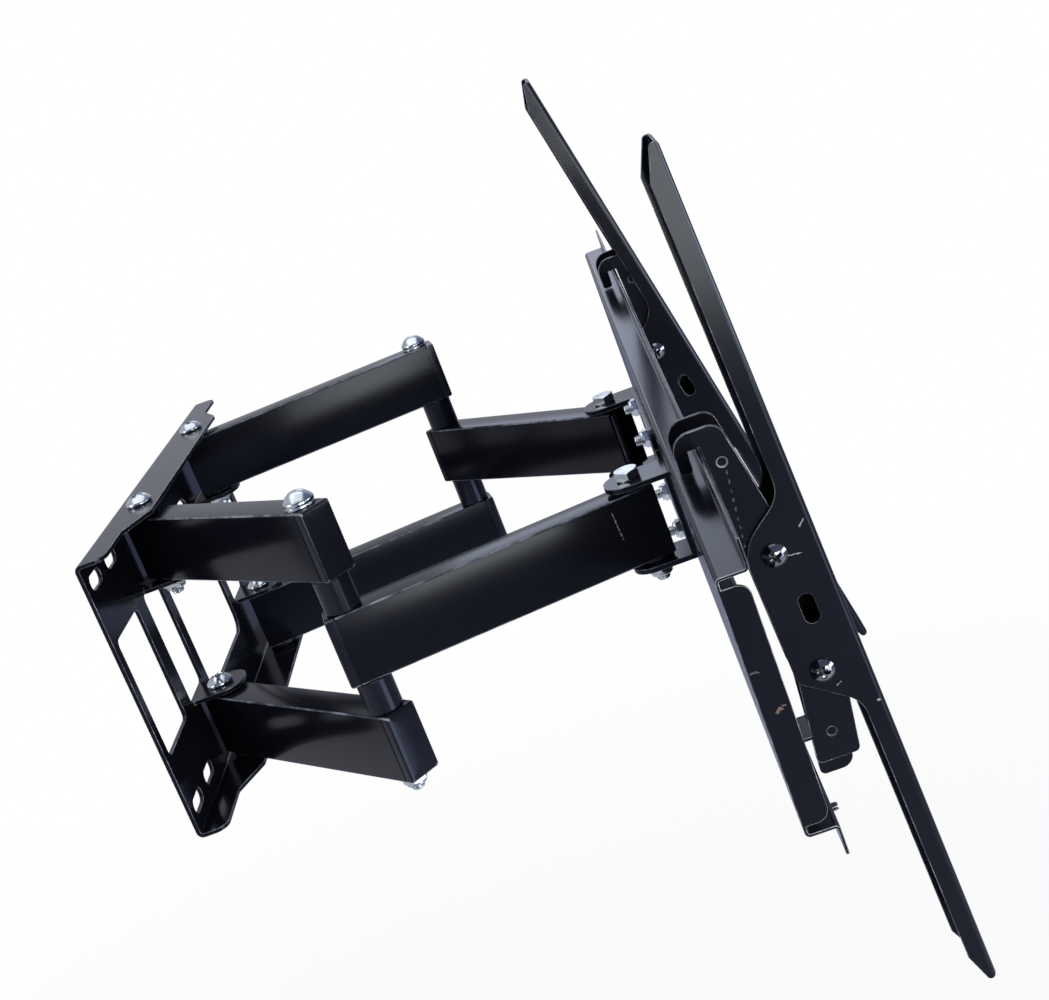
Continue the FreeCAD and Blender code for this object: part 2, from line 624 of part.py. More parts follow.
def rail():
    half_w, half_h = RAIL_W / 2, RAIL_HALF_H
    t, back, front, lip = RAIL_T, RAIL_BACK, RAIL_FRONT, LIP_TOP
    inner, outer = RAIL_BEND, RAIL_BEND + t
    folds = [(back, -half_h, outer), (front - t, -half_h, inner), (front - t, -lip), (front, -lip),
             (front, -half_h + t, outer), (back + t, -half_h + t, inner),
             (back + t, half_h - t, inner), (front, half_h - t, outer), (front, lip), (front - t, lip),
             (front - t, half_h, inner), (back, half_h, outer)]
    body = across(outline(folds), -half_w, half_w)
    flange_h = 2 * (half_h - t - END_FLANGE_RELIEF)
    edge = front - END_FLANGE_SETBACK
    flange = outline([(back, -flange_h / 2), (edge, -flange_h / 2, END_FLANGE_CORNER),
                      (edge, flange_h / 2, END_FLANGE_CORNER), (back, flange_h / 2)])
    body = body.fuse([across(flange, -half_w, -half_w + t), across(flange, half_w - t, half_w)])
    cuts = []
    for x, z in level_places():
        turn = math.degrees(math.atan2(z, x))
        face = arc_slot(math.hypot(x, z), turn, LEVEL_RANGE_DEG + SLOT_MARGIN_DEG, TILT_R + OPEN_FIT)
        cuts.append(upright(face, -back - t - CUT_PAST, -back + CUT_PAST))
    for x in (-STOP_SCREW_X, STOP_SCREW_X):
        cuts.append(out_rod(M4_D / 2, -front - CUT_PAST, -front + t + CUT_PAST, x, STOP_SCREW_Z))
    return on_rail(body.cut(cuts).removeSplitter())


def rail_stop_screws():
    """Screws put in from behind the lower lip, their ends standing out in front of it."""
    screw = dome_screw(M4_D, M4_HEAD_D, M4_HEAD_H, RAIL_T + THREAD_END)
    screw.rotate(V(), X, -90)
    behind = RAIL_T - RAIL_FRONT
    return on_rail(group([placed(screw, x, behind, STOP_SCREW_Z) for x in (-STOP_SCREW_X, STOP_SCREW_X)]))


def full_tilt_front(z):
    """Depth of the hook bracket's front edge at a height: just behind the channel's web at full tilt."""
    angle = math.radians(TILT_MAX_DEG)
    reach = TILT_SCREW_DEPTH - SHEET_T
    web = TILT_SCREW + reach / math.cos(angle) - (z - TILT_PIVOT_Z) * math.tan(angle)
    return web - HOOK_STOP_GAP


def hook_bracket(side):
    mouth_back = HOOK_BACK + HOOK_TIP_W
    mouth_front = mouth_back + HOOK_MOUTH
    tip = RAIL_HALF_H + HOOK_TIP_GAP
    seat = LIP_TOP + FACE_GAP
    front = [(HOOK_BACK, tip, HOOK_TIP_ROUND), (HOOK_BACK, HOOK_TOP, HOOK_OUTER_ROUND),
             (full_tilt_front(HOOK_TOP), HOOK_TOP, HOOK_SHOULDER_ROUND),
             (full_tilt_front(HOOK_BELLY_Z), HOOK_BELLY_Z, HOOK_BELLY_ROUND)]
    back = [(HOOK_WAIST_BACK, HOOK_WAIST_Z, HOOK_WAIST_ROUND), (mouth_front, seat, HOOK_MOUTH_ROUND),
            (mouth_back, seat, HOOK_MOUTH_ROUND), (mouth_back, tip, HOOK_TIP_ROUND)]
    plain = [(HOOK_BOTTOM_FRONT, HOOK_BOTTOM, HOOK_CORNER), (HOOK_BOTTOM_BACK, HOOK_BOTTOM, HOOK_CORNER)]
    foot = [(FOOT_FRONT, FOOT_BOTTOM, FOOT_ROUND), (FOOT_BACK, FOOT_BOTTOM, HOOK_CORNER)]
    half, hollow = HOOK_W / 2, HOOK_W / 2 - SHEET_T
    halves = [across(outline(front + plain + back), -half, 0), across(outline(front + foot + back), 0, half)]
    far = 2 * CHANNEL_FRONT
    belly = full_tilt_front(HOOK_BELLY_Z) - SHEET_T
    web_top = full_tilt_front(HOOK_WEB_TOP) - SHEET_T
    inside = [(0, far), (far, far), (far, HOOK_WEB_TOP), (web_top, HOOK_WEB_TOP), (belly, HOOK_BELLY_Z),
              (belly, HOOK_WEB_BOTTOM), (far, HOOK_WEB_BOTTOM), (far, -far), (0, -far)]
    body = halves[0].fuse(halves[1]).cut(across(outline(inside), -hollow, hollow))

    tab = box(-half, half, -LOCK_TAB_FRONT, -LOCK_TAB_BACK, LOCK_TAB_Z, LOCK_TAB_Z + SHEET_T)
    body = body.fuse(tab)
    tilt_mid, tilt_half = (TILT_MAX_DEG + TILT_MIN_DEG) / 2, (TILT_MAX_DEG - TILT_MIN_DEG) / 2
    clamp = stood(arc_slot(TILT_ARM, tilt_mid, tilt_half + SLOT_MARGIN_DEG, TILT_R + OPEN_FIT))
    clamp = across(clamp, -HOOK_W, HOOK_W, TILT_SCREW, TILT_PIVOT_Z)
    cuts = [cross_rod(TILT_R + RUNNING_FIT, -HOOK_W, HOOK_W, TILT_SCREW, TILT_PIVOT_Z), clamp,
            rod(M5_D / 2 + BOLT_CLEARANCE, LOCK_TAB_Z - CUT_PAST, LOCK_TAB_Z + SHEET_T + CUT_PAST,
                0, -lock_screw_depth())]
    sweep = (WINDOW_SLOT_Z - TILT_PIVOT_Z) * math.sin(math.radians(TILT_MAX_DEG))
    sight_w = WINDOW_SLOT_W + sweep + 2 * SIGHT_MARGIN
    sight = stood(obround(WINDOW_SLOT_LENGTH + 2 * SIGHT_MARGIN, sight_w))
    cuts.append(across(sight, -HOOK_W, 0, CHANNEL_FRONT - WINDOW_SLOT_DEPTH - sweep / 2, WINDOW_SLOT_Z))
    for depth, z in (UPPER_DIMPLE, LOWER_DIMPLE):
        cuts.append(cross_rod(DIMPLE_D / 2, -half - CUT_PAST, -half + DIMPLE_DEPTH, depth, z))
    return on_rail(placed(body.cut(cuts).removeSplitter(), BRACKET_X[side], 0, 0))


def lock_screw_depth():
    return RAIL_FRONT - RAIL_T - LOCK_SCREW_BEHIND - M5_D / 2


def lock_screw(side):
    length = SHEET_T + abs(LOCK_TAB_Z + SHEET_T + RAIL_HALF_H) - M5_D
    screw = dome_screw(M5_D, M5_HEAD_D, M5_HEAD_H, length)
    screw.rotate(V(), X, 180)
    return on_rail(placed(screw, BRACKET_X[side], -lock_screw_depth(), LOCK_TAB_Z))


def tilted(shape, side):
    """Channel parts from the tilt at zero to their tilt, then onto the rail at their bracket."""
    copy = shape.copy()
    copy.rotate(V(0, -TILT_SCREW, TILT_PIVOT_Z), -X, TILT_DEG[side])
    copy.translate(V(BRACKET_X[side], 0, 0))
    return on_rail(copy)


def cheek_profile(edge):
    """Corners of the channel seen from its side, for one depth of the slim ends."""
    front, top, bottom = CHANNEL_FRONT, CHANNEL_TOP, CHANNEL_BOTTOM
    slim, cheek, tip = front - edge, front - CHANNEL_CHEEK, front - TIP_W
    return [(front, top, TIP_ROUND), (tip, top, TIP_ROUND), (slim, top - TIP_TAPER, TIP_ROUND),
            (slim, CHEEK_TOP_IN, CHEEK_BLEND), (cheek, CHEEK_TOP_OUT, CHEEK_SHOULDER),
            (cheek, CHEEK_BOTTOM_OUT, CHEEK_HEEL), (slim, CHEEK_BOTTOM_IN, CHEEK_BLEND),
            (slim, bottom + TIP_TAPER, TIP_ROUND), (tip, bottom, TIP_ROUND), (front, bottom, TIP_ROUND)]


def channel(side):
    front, top, bottom = CHANNEL_FRONT, CHANNEL_TOP, CHANNEL_BOTTOM
    half, hollow = CHANNEL_W / 2, CHANNEL_W / 2 - SHEET_T
    inner_bend = CHANNEL_BEND - SHEET_T
    floor = -front + SHEET_T
    section = [(-half, 0), (-half, -front, CHANNEL_BEND), (half, -front, CHANNEL_BEND), (half, 0),
               (hollow, 0), (hollow, floor, inner_bend), (-hollow, floor, inner_bend), (-hollow, 0)]
    body = flat(section, bottom, top)
    left = body.common(across(outline(cheek_profile(LEFT_CHEEK_EDGE)), -half, 0))
    right = body.common(across(outline(cheek_profile(RIGHT_CHEEK_EDGE)), 0, half))
    body = left.fuse(right).removeSplitter()

    screws = ((TILT_SCREW, TILT_PIVOT_Z), (TILT_SCREW, CLAMP_Z))
    cuts = [cross_rod(TILT_R + BOLT_CLEARANCE, -CHANNEL_W, CHANNEL_W, depth, z) for depth, z in screws]
    window = stood(obround(WINDOW_SLOT_LENGTH, WINDOW_SLOT_W))
    cuts.append(across(window, -CHANNEL_W, CHANNEL_W, front - WINDOW_SLOT_DEPTH, WINDOW_SLOT_Z))
    y0, y1 = -front - CUT_PAST, floor + CUT_PAST
    cuts += [out_rod(SCREEN_HOLE_D / 2, y0, y1, 0, z) for z in screen_holes()]
    long_slot = stood(obround(SCREEN_SLOT_LENGTH, SCREEN_HOLE_D))
    cuts += [upright(long_slot, y0, y1, 0, z) for z in screen_slots()]
    return tilted(body.cut(cuts), side)


def screen_holes():
    middle = (CHANNEL_TOP + CHANNEL_BOTTOM) / 2
    return [middle - SCREEN_PITCH / 2, middle + SCREEN_PITCH / 2]


def screen_slots():
    """Slots for the smaller hole patterns, in the slim ends of the channel."""
    middle = (CHANNEL_TOP + CHANNEL_BOTTOM) / 2
    return [middle + sign * SCREEN_PITCH / 2 * share for sign in (-1, 1) for share in SCREEN_SLOT_SHARES]


def tilt_hardware(side):
    head_x = -CHANNEL_W / 2
    screw = dome_screw(M6_D, M6_HEAD_D, M6_HEAD_H, CHANNEL_W + M6_NUT_H + THREAD_END)
    screw.rotate(V(), Y, -90)
    end_nut = nut(M6_D, M6_HEX_AF, M6_NUT_H)
    end_nut.rotate(V(), Y, 90)
    places = [(-TILT_SCREW, TILT_PIVOT_Z), (-TILT_SCREW, CLAMP_Z)]
    add(f"{side}_tilt_screws", tilted(group([placed(screw, head_x, y, z) for y, z in places]), side))
    add(f"{side}_tilt_nuts", tilted(group([placed(end_nut, -head_x, y, z) for y, z in places]), side))


def build():
    add("wall_plate", wall_plate())
    wall_hardware()
    for side in SIDE:
        inner_arm(side)
        outer_arm(side)
    add("head_bracket", head_bracket())
    head_hardware()
    add("tv_rail", rail())
    add("rail_stop_screws", rail_stop_screws())
    for side in SIDE:
        add(f"{side}_hook_bracket", hook_bracket(side))
        add(f"{side}_lock_screw", lock_screw(side))
        add(f"{side}_tilt_channel", channel(side))
        tilt_hardware(side)


build()
os.makedirs("parts", exist_ok=True)
for name, shape in PARTS.items():
    shape.exportStep(f"parts/{name}.step")
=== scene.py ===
"""Looks of a folding television wall mount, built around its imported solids.

The folded sheets keep their solids' shapes and get soft edges. Tubes, caps, spacers, washers and all the
threaded hardware are surfaces worked out with numpy, with places and sizes read from the frame.
"""

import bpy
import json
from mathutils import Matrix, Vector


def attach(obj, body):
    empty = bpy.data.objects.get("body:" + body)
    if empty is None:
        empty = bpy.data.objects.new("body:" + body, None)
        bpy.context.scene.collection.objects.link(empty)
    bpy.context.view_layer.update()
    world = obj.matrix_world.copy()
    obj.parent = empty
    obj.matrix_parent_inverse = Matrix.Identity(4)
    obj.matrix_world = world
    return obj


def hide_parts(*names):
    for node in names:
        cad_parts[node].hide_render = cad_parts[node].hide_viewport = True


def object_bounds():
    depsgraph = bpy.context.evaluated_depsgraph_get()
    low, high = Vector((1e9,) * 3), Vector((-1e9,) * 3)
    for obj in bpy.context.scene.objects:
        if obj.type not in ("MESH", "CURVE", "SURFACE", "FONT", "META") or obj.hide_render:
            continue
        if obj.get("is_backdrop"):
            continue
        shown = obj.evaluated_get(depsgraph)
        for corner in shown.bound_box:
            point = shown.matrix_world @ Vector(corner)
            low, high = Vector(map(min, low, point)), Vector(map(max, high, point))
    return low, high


bl_info = {
    "name": "Folding Wall Mount",
    "version": (1, 0, 0),
    "blender": (4, 5, 0),
    "location": "View3D > Sidebar > Mount",
    "description": "Dresses a folding television wall mount with soft sheet edges, hardware and finishes",
    "category": "Object",
}

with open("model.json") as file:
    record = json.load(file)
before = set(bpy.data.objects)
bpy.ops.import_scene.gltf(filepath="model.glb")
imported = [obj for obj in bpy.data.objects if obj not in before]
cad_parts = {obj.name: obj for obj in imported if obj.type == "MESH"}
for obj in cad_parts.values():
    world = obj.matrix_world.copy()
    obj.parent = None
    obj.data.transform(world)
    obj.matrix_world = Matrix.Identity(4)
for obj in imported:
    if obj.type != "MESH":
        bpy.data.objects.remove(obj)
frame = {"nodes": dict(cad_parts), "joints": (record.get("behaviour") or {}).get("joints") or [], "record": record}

import json
import math
from collections import namedtuple

import bmesh
import bpy
import numpy as np
from mathutils import Matrix, Vector

CAD_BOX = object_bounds()
MM = 0.001
TURN = 2 * math.pi
SIDES = ("left", "right")
RECORD = frame["record"]
JOINTS = {joint["name"]: joint for joint in frame["joints"]}
SLOT_OF = {part["node"]: part["material_slot"] for part in RECORD["subparts"]}
BODY_OF = {node: body for body, nodes in RECORD["behaviour"]["bodies"].items() for node in nodes}

# Directions: up, out from the wall, along the rail and square to the rail
UP = np.array([0.0, 0.0, 1.0])
ROOM = np.array([0.0, -1.0, 0.0])
RAIL = np.array(JOINTS["left_bracket_slide"]["axis"])
RAIL_UP = np.cross(RAIL, -ROOM)

SHEETS = ("wall_plate", "head_bracket", "tv_rail", "left_hook_bracket", "right_hook_bracket",
          "left_tilt_channel", "right_tilt_channel")

# Where each screw's head, each nut's collar and each washer's upper face looks
DOMED_SCREWS = {
    "wall_pivot_bolts": UP, "level_bolts": ROOM, "rail_stop_screws": -ROOM,
    "left_elbow_bolt": UP, "right_elbow_bolt": UP,
    "left_lock_screw": -RAIL_UP, "right_lock_screw": -RAIL_UP,
    "left_tilt_screws": -RAIL, "right_tilt_screws": -RAIL,
}
PLAIN_HEADS = ("left_elbow_bolt", "right_elbow_bolt")
TALL_HEADS = PLAIN_HEADS + ("wall_pivot_bolts",)
HEX_BOLTS = {"head_pivot_bolts": UP}
NUTS = {
    "wall_pivot_nuts": -UP, "head_pivot_nuts": -UP, "level_nuts": -ROOM,
    "left_elbow_nut": -UP, "right_elbow_nut": -UP, "left_tilt_nuts": RAIL, "right_tilt_nuts": RAIL,
}
WASHERS = {
    "wall_pivot_washers": UP, "head_pivot_washers": UP, "level_washers": ROOM,
    "left_elbow_washer": UP, "right_elbow_washer": UP,
}

# Fineness of the surfaces: points round a turned piece, rings of a dome, rows to a pitch of thread, points
# on a tube's corner, on a rolled edge and on a washer's edge, and rows over a cap's face
SEGMENTS = 72
DOME_RINGS = 26
PITCH_ROWS = 9
CORNER_POINTS = 6
ROLL_POINTS = 6
WASHER_POINTS = 5
FACE_ROWS = 4

# Angles in degrees from which a crease stays sharp on turned pieces, on caps and on hexagons
TURNED_CREASE, CAP_CREASE, HEX_CREASE = 38, 30, 25

# Meshes: points this near are one; on a sheet, bends this slight are flat, edges this short go and edges
# this steep are cut ones
SAME_POINT = 2e-6
FLAT_BEND = math.radians(0.6)
SHORT_EDGE = 0.1 * MM
CUT_EDGE = math.radians(35)

# Reading a solid: corners past this share of its greatest radius are its rim, and its foot is this thick
RIM_SHARE = 0.97
FOOT_SLICE = 0.01 * MM

# Domed heads: the power of the dome's curve
DOME_POWER = 2.4
# Cross recess: half a bar's width, its reach and its soft edge as shares of the head's radius
CROSS_HALF_WIDTH, CROSS_REACH, CROSS_SOFT = 0.15, 0.56, 0.04
# Its depth as a share of the head's height, times a factor in the middle that tapers towards the ends
CROSS_DEPTH, CROSS_MIDDLE, CROSS_TAPER = 0.85, 1.15, 0.75
# Turn in radians of a node's first screw; each next one is turned by one radian more
FIRST_SPIN = 0.4

# Ends of threads: the chamfer's height as a share of the pitch, and its cut as a share of the depth
END_CHAMFER = 0.4
END_CUT = 1.6

# Scratches in millimetres: both ends, width, fraying in widths, spacing of dashes or 0, and tone
Scratch = namedtuple("Scratch", "start end width fray dash tone")
SCRATCHES = {
    "left_tilt_channel": (
        Scratch((-294, -363, 10), (-294, -366, 13), 0.8, 2.5, 0, "bare"),
        Scratch((-293, -352, -2), (-293, -360, -3), 0.55, 3.5, 0, "bare"),
        Scratch((-287, -372, -90), (-287, -373, -90), 1.0, 2.0, 0, "bare"),
        Scratch((-288, -356, -75), (-288, -358, -74), 0.6, 3.0, 0, "bare")),
    "left_hook_bracket": (Scratch((-295, -340, 49), (-292, -336, 7), 0.75, 3.0, 4.7, "scuff"),),
    "tv_rail": (
        Scratch((-400, -322, -24), (-400, -325, -22), 1.2, 4.5, 0, "primer"),
        Scratch((-401, -320, -4), (-401, -317, -3.6), 0.7, 4.5, 0, "scuff")),
    "left_outer_tube": (Scratch((-191, -280, 14), (-191, -281, -2), 0.5, 3.5, 0, "bare"),),
}

# Lamps: place, point that they face, width and height in metres, power in watts and tint
Softbox = namedtuple("Softbox", "name place aim width height power tint")
PALE, WARM, BLUE = (0.92, 0.95, 1.0), (1.0, 0.98, 0.86), (0.70, 0.78, 1.0)
SOFTBOXES = (
    Softbox("overhead softbox", (-0.1, -0.1, 1.9), (-0.1, -0.15, 0), 2.4, 2.4, 22.0, PALE),
    Softbox("wall side softbox", (-0.9, 1.6, 0.7), (-0.1, -0.15, 0), 0.9, 0.9, 9.0, PALE),
    Softbox("front softbox", (-1.15, -0.79, -0.02), (0.0, -0.79, -0.02), 0.94, 0.31, 7.2, WARM),
    Softbox("room side softbox", (-0.55, -1.9, -0.1), (-0.3, -0.3, 0), 1.3, 0.5, 14.0, PALE),
    Softbox("low softbox", (-1.28, -1.6, -0.56), (-0.2, -0.2, 0), 0.9, 0.9, 8.5, BLUE),
    Softbox("far softbox", (2.2, -0.2, 1.13), (-0.1, -0.3, 0), 0.7, 0.95, 2.9, BLUE),
)

# Backdrop: its white, the room's tint, the share of white in gloss, and the floor's reach in metres; then
# the camera's sensor
WHITE = (1, 1, 1, 1)
DIM_ROOM = (0.5, 0.58, 1.0, 1)
GLOSS_SHARE = 0.42
FLOOR_REACH = 14
SENSOR_MM = 36


# Settings that a user would change

class FinishSettings(bpy.types.PropertyGroup):
    paint: bpy.props.FloatVectorProperty(
        name="Paint", description="Colour of the powder coat on sheets and tubes",
        subtype="COLOR", size=3, min=0, max=1, default=(0.006, 0.0063, 0.009))
    paint_roughness: bpy.props.FloatProperty(
        name="Paint roughness", description="Gloss of the powder coat", subtype="FACTOR",
        min=0.05, max=1, default=0.17)
    sheen: bpy.props.FloatVectorProperty(
        name="Sheen", description="Tint of reflections in paint and plastic",
        subtype="COLOR", size=3, min=0, max=1, default=(0.78, 0.85, 1.0))
    # Edge: a pale colour painted along the edges as a highlight, patchy like worn paint
    edge: bpy.props.FloatVectorProperty(
        name="Edge", description="Colour of paint and plastic made pale along their edges as painted highlight and as worn paint",
        subtype="COLOR", size=3, min=0, max=1, default=(0.30, 0.31, 0.34))
    peel: bpy.props.FloatProperty(
        name="Orange peel", description="Grain size of the powder coat's texture", unit="LENGTH",
        min=0.0002, max=0.01, default=0.0016)
    plastic: bpy.props.FloatVectorProperty(
        name="Plastic", description="Colour of caps, spacers and washers",
        subtype="COLOR", size=3, min=0, max=1, default=(0.009, 0.0095, 0.014))
    zinc: bpy.props.FloatVectorProperty(
        name="Zinc", description="Colour of the bright plated hardware",
        subtype="COLOR", size=3, min=0, max=1, default=(0.70, 0.73, 0.74))
    nickel: bpy.props.FloatVectorProperty(
        name="Dark nickel", description="Colour of the dark plated screws",
        subtype="COLOR", size=3, min=0, max=1, default=(0.27, 0.27, 0.28))
    bare: bpy.props.FloatVectorProperty(
        name="Bare metal", description="Colour of bare metal in the scratches",
        subtype="COLOR", size=3, min=0, max=1, default=(0.42, 0.42, 0.44))
    scuff: bpy.props.FloatVectorProperty(
        name="Scuff", description="Colour of marks that stay in the paint",
        subtype="COLOR", size=3, min=0, max=1, default=(0.11, 0.11, 0.125))
    primer: bpy.props.FloatVectorProperty(
        name="Primer", description="Colour of scuffs that stop at the primer",
        subtype="COLOR", size=3, min=0, max=1, default=(0.19, 0.12, 0.085))


class ShapeSettings(bpy.types.PropertyGroup):
    sheet_edge: bpy.props.FloatProperty(
        name="Sheet edge", description="Rounding of the sheets' cut edges", unit="LENGTH",
        min=0, max=0.001, default=0.00035)
    tube_corner: bpy.props.FloatProperty(
        name="Tube corner", description="Outside corner radius of the arm tubes", unit="LENGTH",
        min=0.0005, max=0.005, default=0.0013)
    tube_wall: bpy.props.FloatProperty(
        name="Tube wall", description="Wall thickness of the arm tubes", unit="LENGTH",
        min=0.0005, max=0.004, default=0.0018)
    cap_rim: bpy.props.FloatProperty(
        name="Cap rim", description="Length of a cap's rim that shows at the end of a tube",
        unit="LENGTH", min=0.002, max=0.01, default=0.0062)
    cap_seam: bpy.props.FloatProperty(
        name="Cap seam", description="Width and depth of the groove between a tube and its cap",
        unit="LENGTH", min=0, max=0.002, default=0.0007)
    cap_edge: bpy.props.FloatProperty(
        name="Cap edge", description="Rounding of a cap's outer edge", unit="LENGTH",
        min=0.0002, max=0.003, default=0.0013)
    cap_crown: bpy.props.FloatProperty(
        name="Cap crown", description="Bulge of a cap's face", unit="LENGTH",
        min=0, max=0.002, default=0.0003)
    head_rise: bpy.props.FloatProperty(
        name="Head rise", description="How much taller the pivot bolts' domes are than their solids",
        subtype="FACTOR", min=1, max=2, default=1.45)
    thread_pitch: bpy.props.FloatProperty(
        name="Thread pitch", description="Pitch of the threads as a share of their diameter",
        subtype="FACTOR", min=0.05, max=0.4, default=0.16)
    thread_depth: bpy.props.FloatProperty(
        name="Thread depth", description="Depth of the threads as a share of their pitch",
        subtype="FACTOR", min=0.1, max=0.8, default=0.5)
    thread_length: bpy.props.FloatProperty(
        name="Thread length", description="Longest threaded stretch of a screw", unit="LENGTH",
        min=0.002, max=0.05, default=0.016)


class StageSettings(bpy.types.PropertyGroup):
    floor_drop: bpy.props.FloatProperty(
        name="Floor drop", description="Floor below the centre of the wall plate", unit="LENGTH",
        min=0.4, max=3, default=1.1)
    floor: bpy.props.FloatVectorProperty(
        name="Floor", description="Colour of the floor", subtype="COLOR", size=3, min=0, max=1,
        default=(0.86, 0.86, 0.86))
    eye: bpy.props.FloatVectorProperty(
        name="Camera", description="Place of the camera", subtype="TRANSLATION", size=3,
        default=(-1.0219, -0.30782, 0.27797))
    azimuth: bpy.props.FloatProperty(
        name="Azimuth", description="Direction of the camera round the mount", subtype="ANGLE",
        default=math.radians(-85.58))
    elevation: bpy.props.FloatProperty(
        name="Elevation", description="Height angle of the camera", subtype="ANGLE",
        default=math.radians(13.88))
    roll: bpy.props.FloatProperty(
        name="Roll", description="Turn of the camera about its own axis", subtype="ANGLE",
        default=math.radians(-21.12))
    lens: bpy.props.FloatProperty(
        name="Lens", description="Focal length of the camera", unit="CAMERA",
        min=10, max=300, default=56.455)
    shift: bpy.props.FloatVectorProperty(
        name="Shift", description="Shift of the picture on the sensor", size=2,
        default=(0.01503, -0.05968))


# Surfaces: arrays of points on a grid, joined into meshes

def grid(points, closed):
    """Vertices and quads of a rows by columns grid of points; closed joins the last column to the first."""
    rows, columns = points.shape[:2]
    index = np.arange(rows * columns).reshape(rows, columns)
    if closed:
        index = np.concatenate([index, index[:, :1]], axis=1)
    quads = np.stack([index[:-1, :-1], index[:-1, 1:], index[1:, 1:], index[1:, :-1]], axis=-1)
    return points.reshape(-1, 3), quads.reshape(-1, 4)


def joined(surfaces):
    """Several (vertices, quads) pairs as one pair."""
    starts = np.cumsum([0] + [len(v) for v, _ in surfaces[:-1]])
    return (np.concatenate([v for v, _ in surfaces]),
            np.concatenate([q + start for (_, q), start in zip(surfaces, starts)]))


def facing(axis):
    """Rotation matrix that turns +Z to the axis."""
    return np.array(Vector((0, 0, 1)).rotation_difference(Vector(axis)).to_matrix())


def moved(surface, origin, axis=UP, spin=0.0):
    """The surface turned so that its +Z lies along axis, after a spin about it, and carried to origin."""
    turn = facing(axis) @ np.array(Matrix.Rotation(spin, 3, "Z"))
    vertices, quads = surface
    return vertices @ turn.T + np.asarray(origin), quads


def round_angles():
    """Angles of the points round a turned piece."""
    return np.linspace(0, TURN, SEGMENTS, endpoint=False)


def lathe(profile):
    """Rows of (radius, height) turned about Z: x = r cos a, y = r sin a, z = height.

    A radius or height may also be an array with a value for each angle.
    """
    angle = round_angles()
    radius, height = (np.stack([np.broadcast_to(row[part], angle.shape) for row in profile])
                      for part in (0, 1))
    return grid(np.stack([radius * np.cos(angle), radius * np.sin(angle), height], axis=-1), True)


def arc(centre, radius, start, end, count):
    """Points (radius, height) on a circular arc between two angles in degrees."""
    angle = np.radians(np.linspace(start, end, count))
    return np.stack([centre[0] + radius * np.cos(angle), centre[1] + radius * np.sin(angle)], axis=-1)


def rounded_rectangle(width, height, radius):
    """Points (x, y) round a rectangle: a quarter circle at each corner in turn."""
    angle = np.radians(np.linspace(0, 90, CORNER_POINTS))
    quarter = np.arange(4)[:, None] * (TURN / 4) + angle[None]
    centre_x = np.array([1, -1, -1, 1])[:, None] * (width / 2 - radius)
    centre_y = np.array([1, 1, -1, -1])[:, None] * (height / 2 - radius)
    points = np.stack([centre_x + radius * np.cos(quarter), centre_y + radius * np.sin(quarter)], axis=-1)
    return points.reshape(-1, 2)


def corner_quads(bands, rubbed):
    """True for the quads at the middle of each corner of carried rectangles, on the given bands alone; these take
    the pale painted edge highlight.
    """
    column = np.arange(4 * CORNER_POINTS) % CORNER_POINTS
    middle = (column > 0) & (column < CORNER_POINTS - 2)
    return np.isin(np.arange(bands), rubbed)[:, None] & middle[None]


def carried(rims, heights):
    """Closed outlines (rows of x, y) stacked at their heights along Z, joined in order."""
    rows = [np.column_stack([rim, np.full(len(rim), height)]) for rim, height in zip(rims, heights)]
    return grid(np.stack(rows), True)


def threaded(radius, top, bottom, pitch, depth):
    """A thread down a rod, with a chamfered end.

    r = radius - depth (1 + cos(2 pi z / pitch - a)) / 2, which starts from the full radius over the first
    pitch and ends at the thread's root over the last one.
    """
    rows = max(4, int((top - bottom) / pitch * PITCH_ROWS))
    height = np.linspace(top, bottom, rows)[:, None]
    angle = round_angles()[None]
    wave = 0.5 + 0.5 * np.cos(TURN * height / pitch - angle)
    fade = np.clip((top - height) / pitch, 0, 1)
    tip = np.clip((height - bottom) / pitch, 0, 1)
    r = radius - depth * (1 - (1 - wave) * tip) * fade
    points = np.stack([r * np.cos(angle), r * np.sin(angle), np.broadcast_to(height, r.shape)], axis=-1)
    foot = bottom - END_CHAMFER * pitch
    end = [(radius - depth, bottom), (radius - END_CUT * depth, foot), (0, foot)]
    return joined([grid(points, True), lathe(end)])


def dome_top(radius, edge, height, recess):
    """Domed head: z = edge + (height - edge) (1 - (r / radius) ^ power), less a cross of two bars.

    The bars are deepest in the middle and get shallower towards their ends.
    """
    r = radius * np.linspace(0, 1, DOME_RINGS)[:, None]
    angle = round_angles()[None]
    x, y = r * np.cos(angle), r * np.sin(angle)
    z = edge + (height - edge) * (1 - (r / radius) ** DOME_POWER) + 0 * angle
    if recess:
        half_width, reach, soft = CROSS_HALF_WIDTH * radius, CROSS_REACH * radius, CROSS_SOFT * radius
        bar_x = np.clip((half_width - np.abs(y)) / soft, 0, 1)
        bar_y = np.clip((half_width - np.abs(x)) / soft, 0, 1)
        inside = np.clip((reach - r) / soft, 0, 1)
        cut = np.maximum(bar_x, bar_y) * inside
        z = z - cut * CROSS_DEPTH * height * (CROSS_MIDDLE - CROSS_TAPER * r / reach)
    return grid(np.stack([x, y, z], axis=-1), True)


def shank(radius, length, shape):
    """Rod down -Z from z = 0 whose last stretch is threaded."""
    pitch = 2 * radius * shape.thread_pitch
    start, end = min(0.0, shape.thread_length - length), END_CHAMFER * pitch - length
    return joined([lathe([(radius, 0), (radius, start)]),
                   threaded(radius, start, end, pitch, shape.thread_depth * pitch)])


def domed_screw(fit, shape, height, recess):
    """Screw down -Z from the underside of its domed head at z = 0; the rim is chamfered below."""
    edge, chamfer, seat = 0.3 * height, 0.12 * height, 0.96 * fit.wide
    rim = [(fit.wide, edge), (fit.wide, chamfer), (seat, 0), (fit.shank, 0)]
    dome = dome_top(fit.wide, edge, height, recess)
    return joined([dome, lathe(rim), shank(fit.shank, fit.length, shape)])


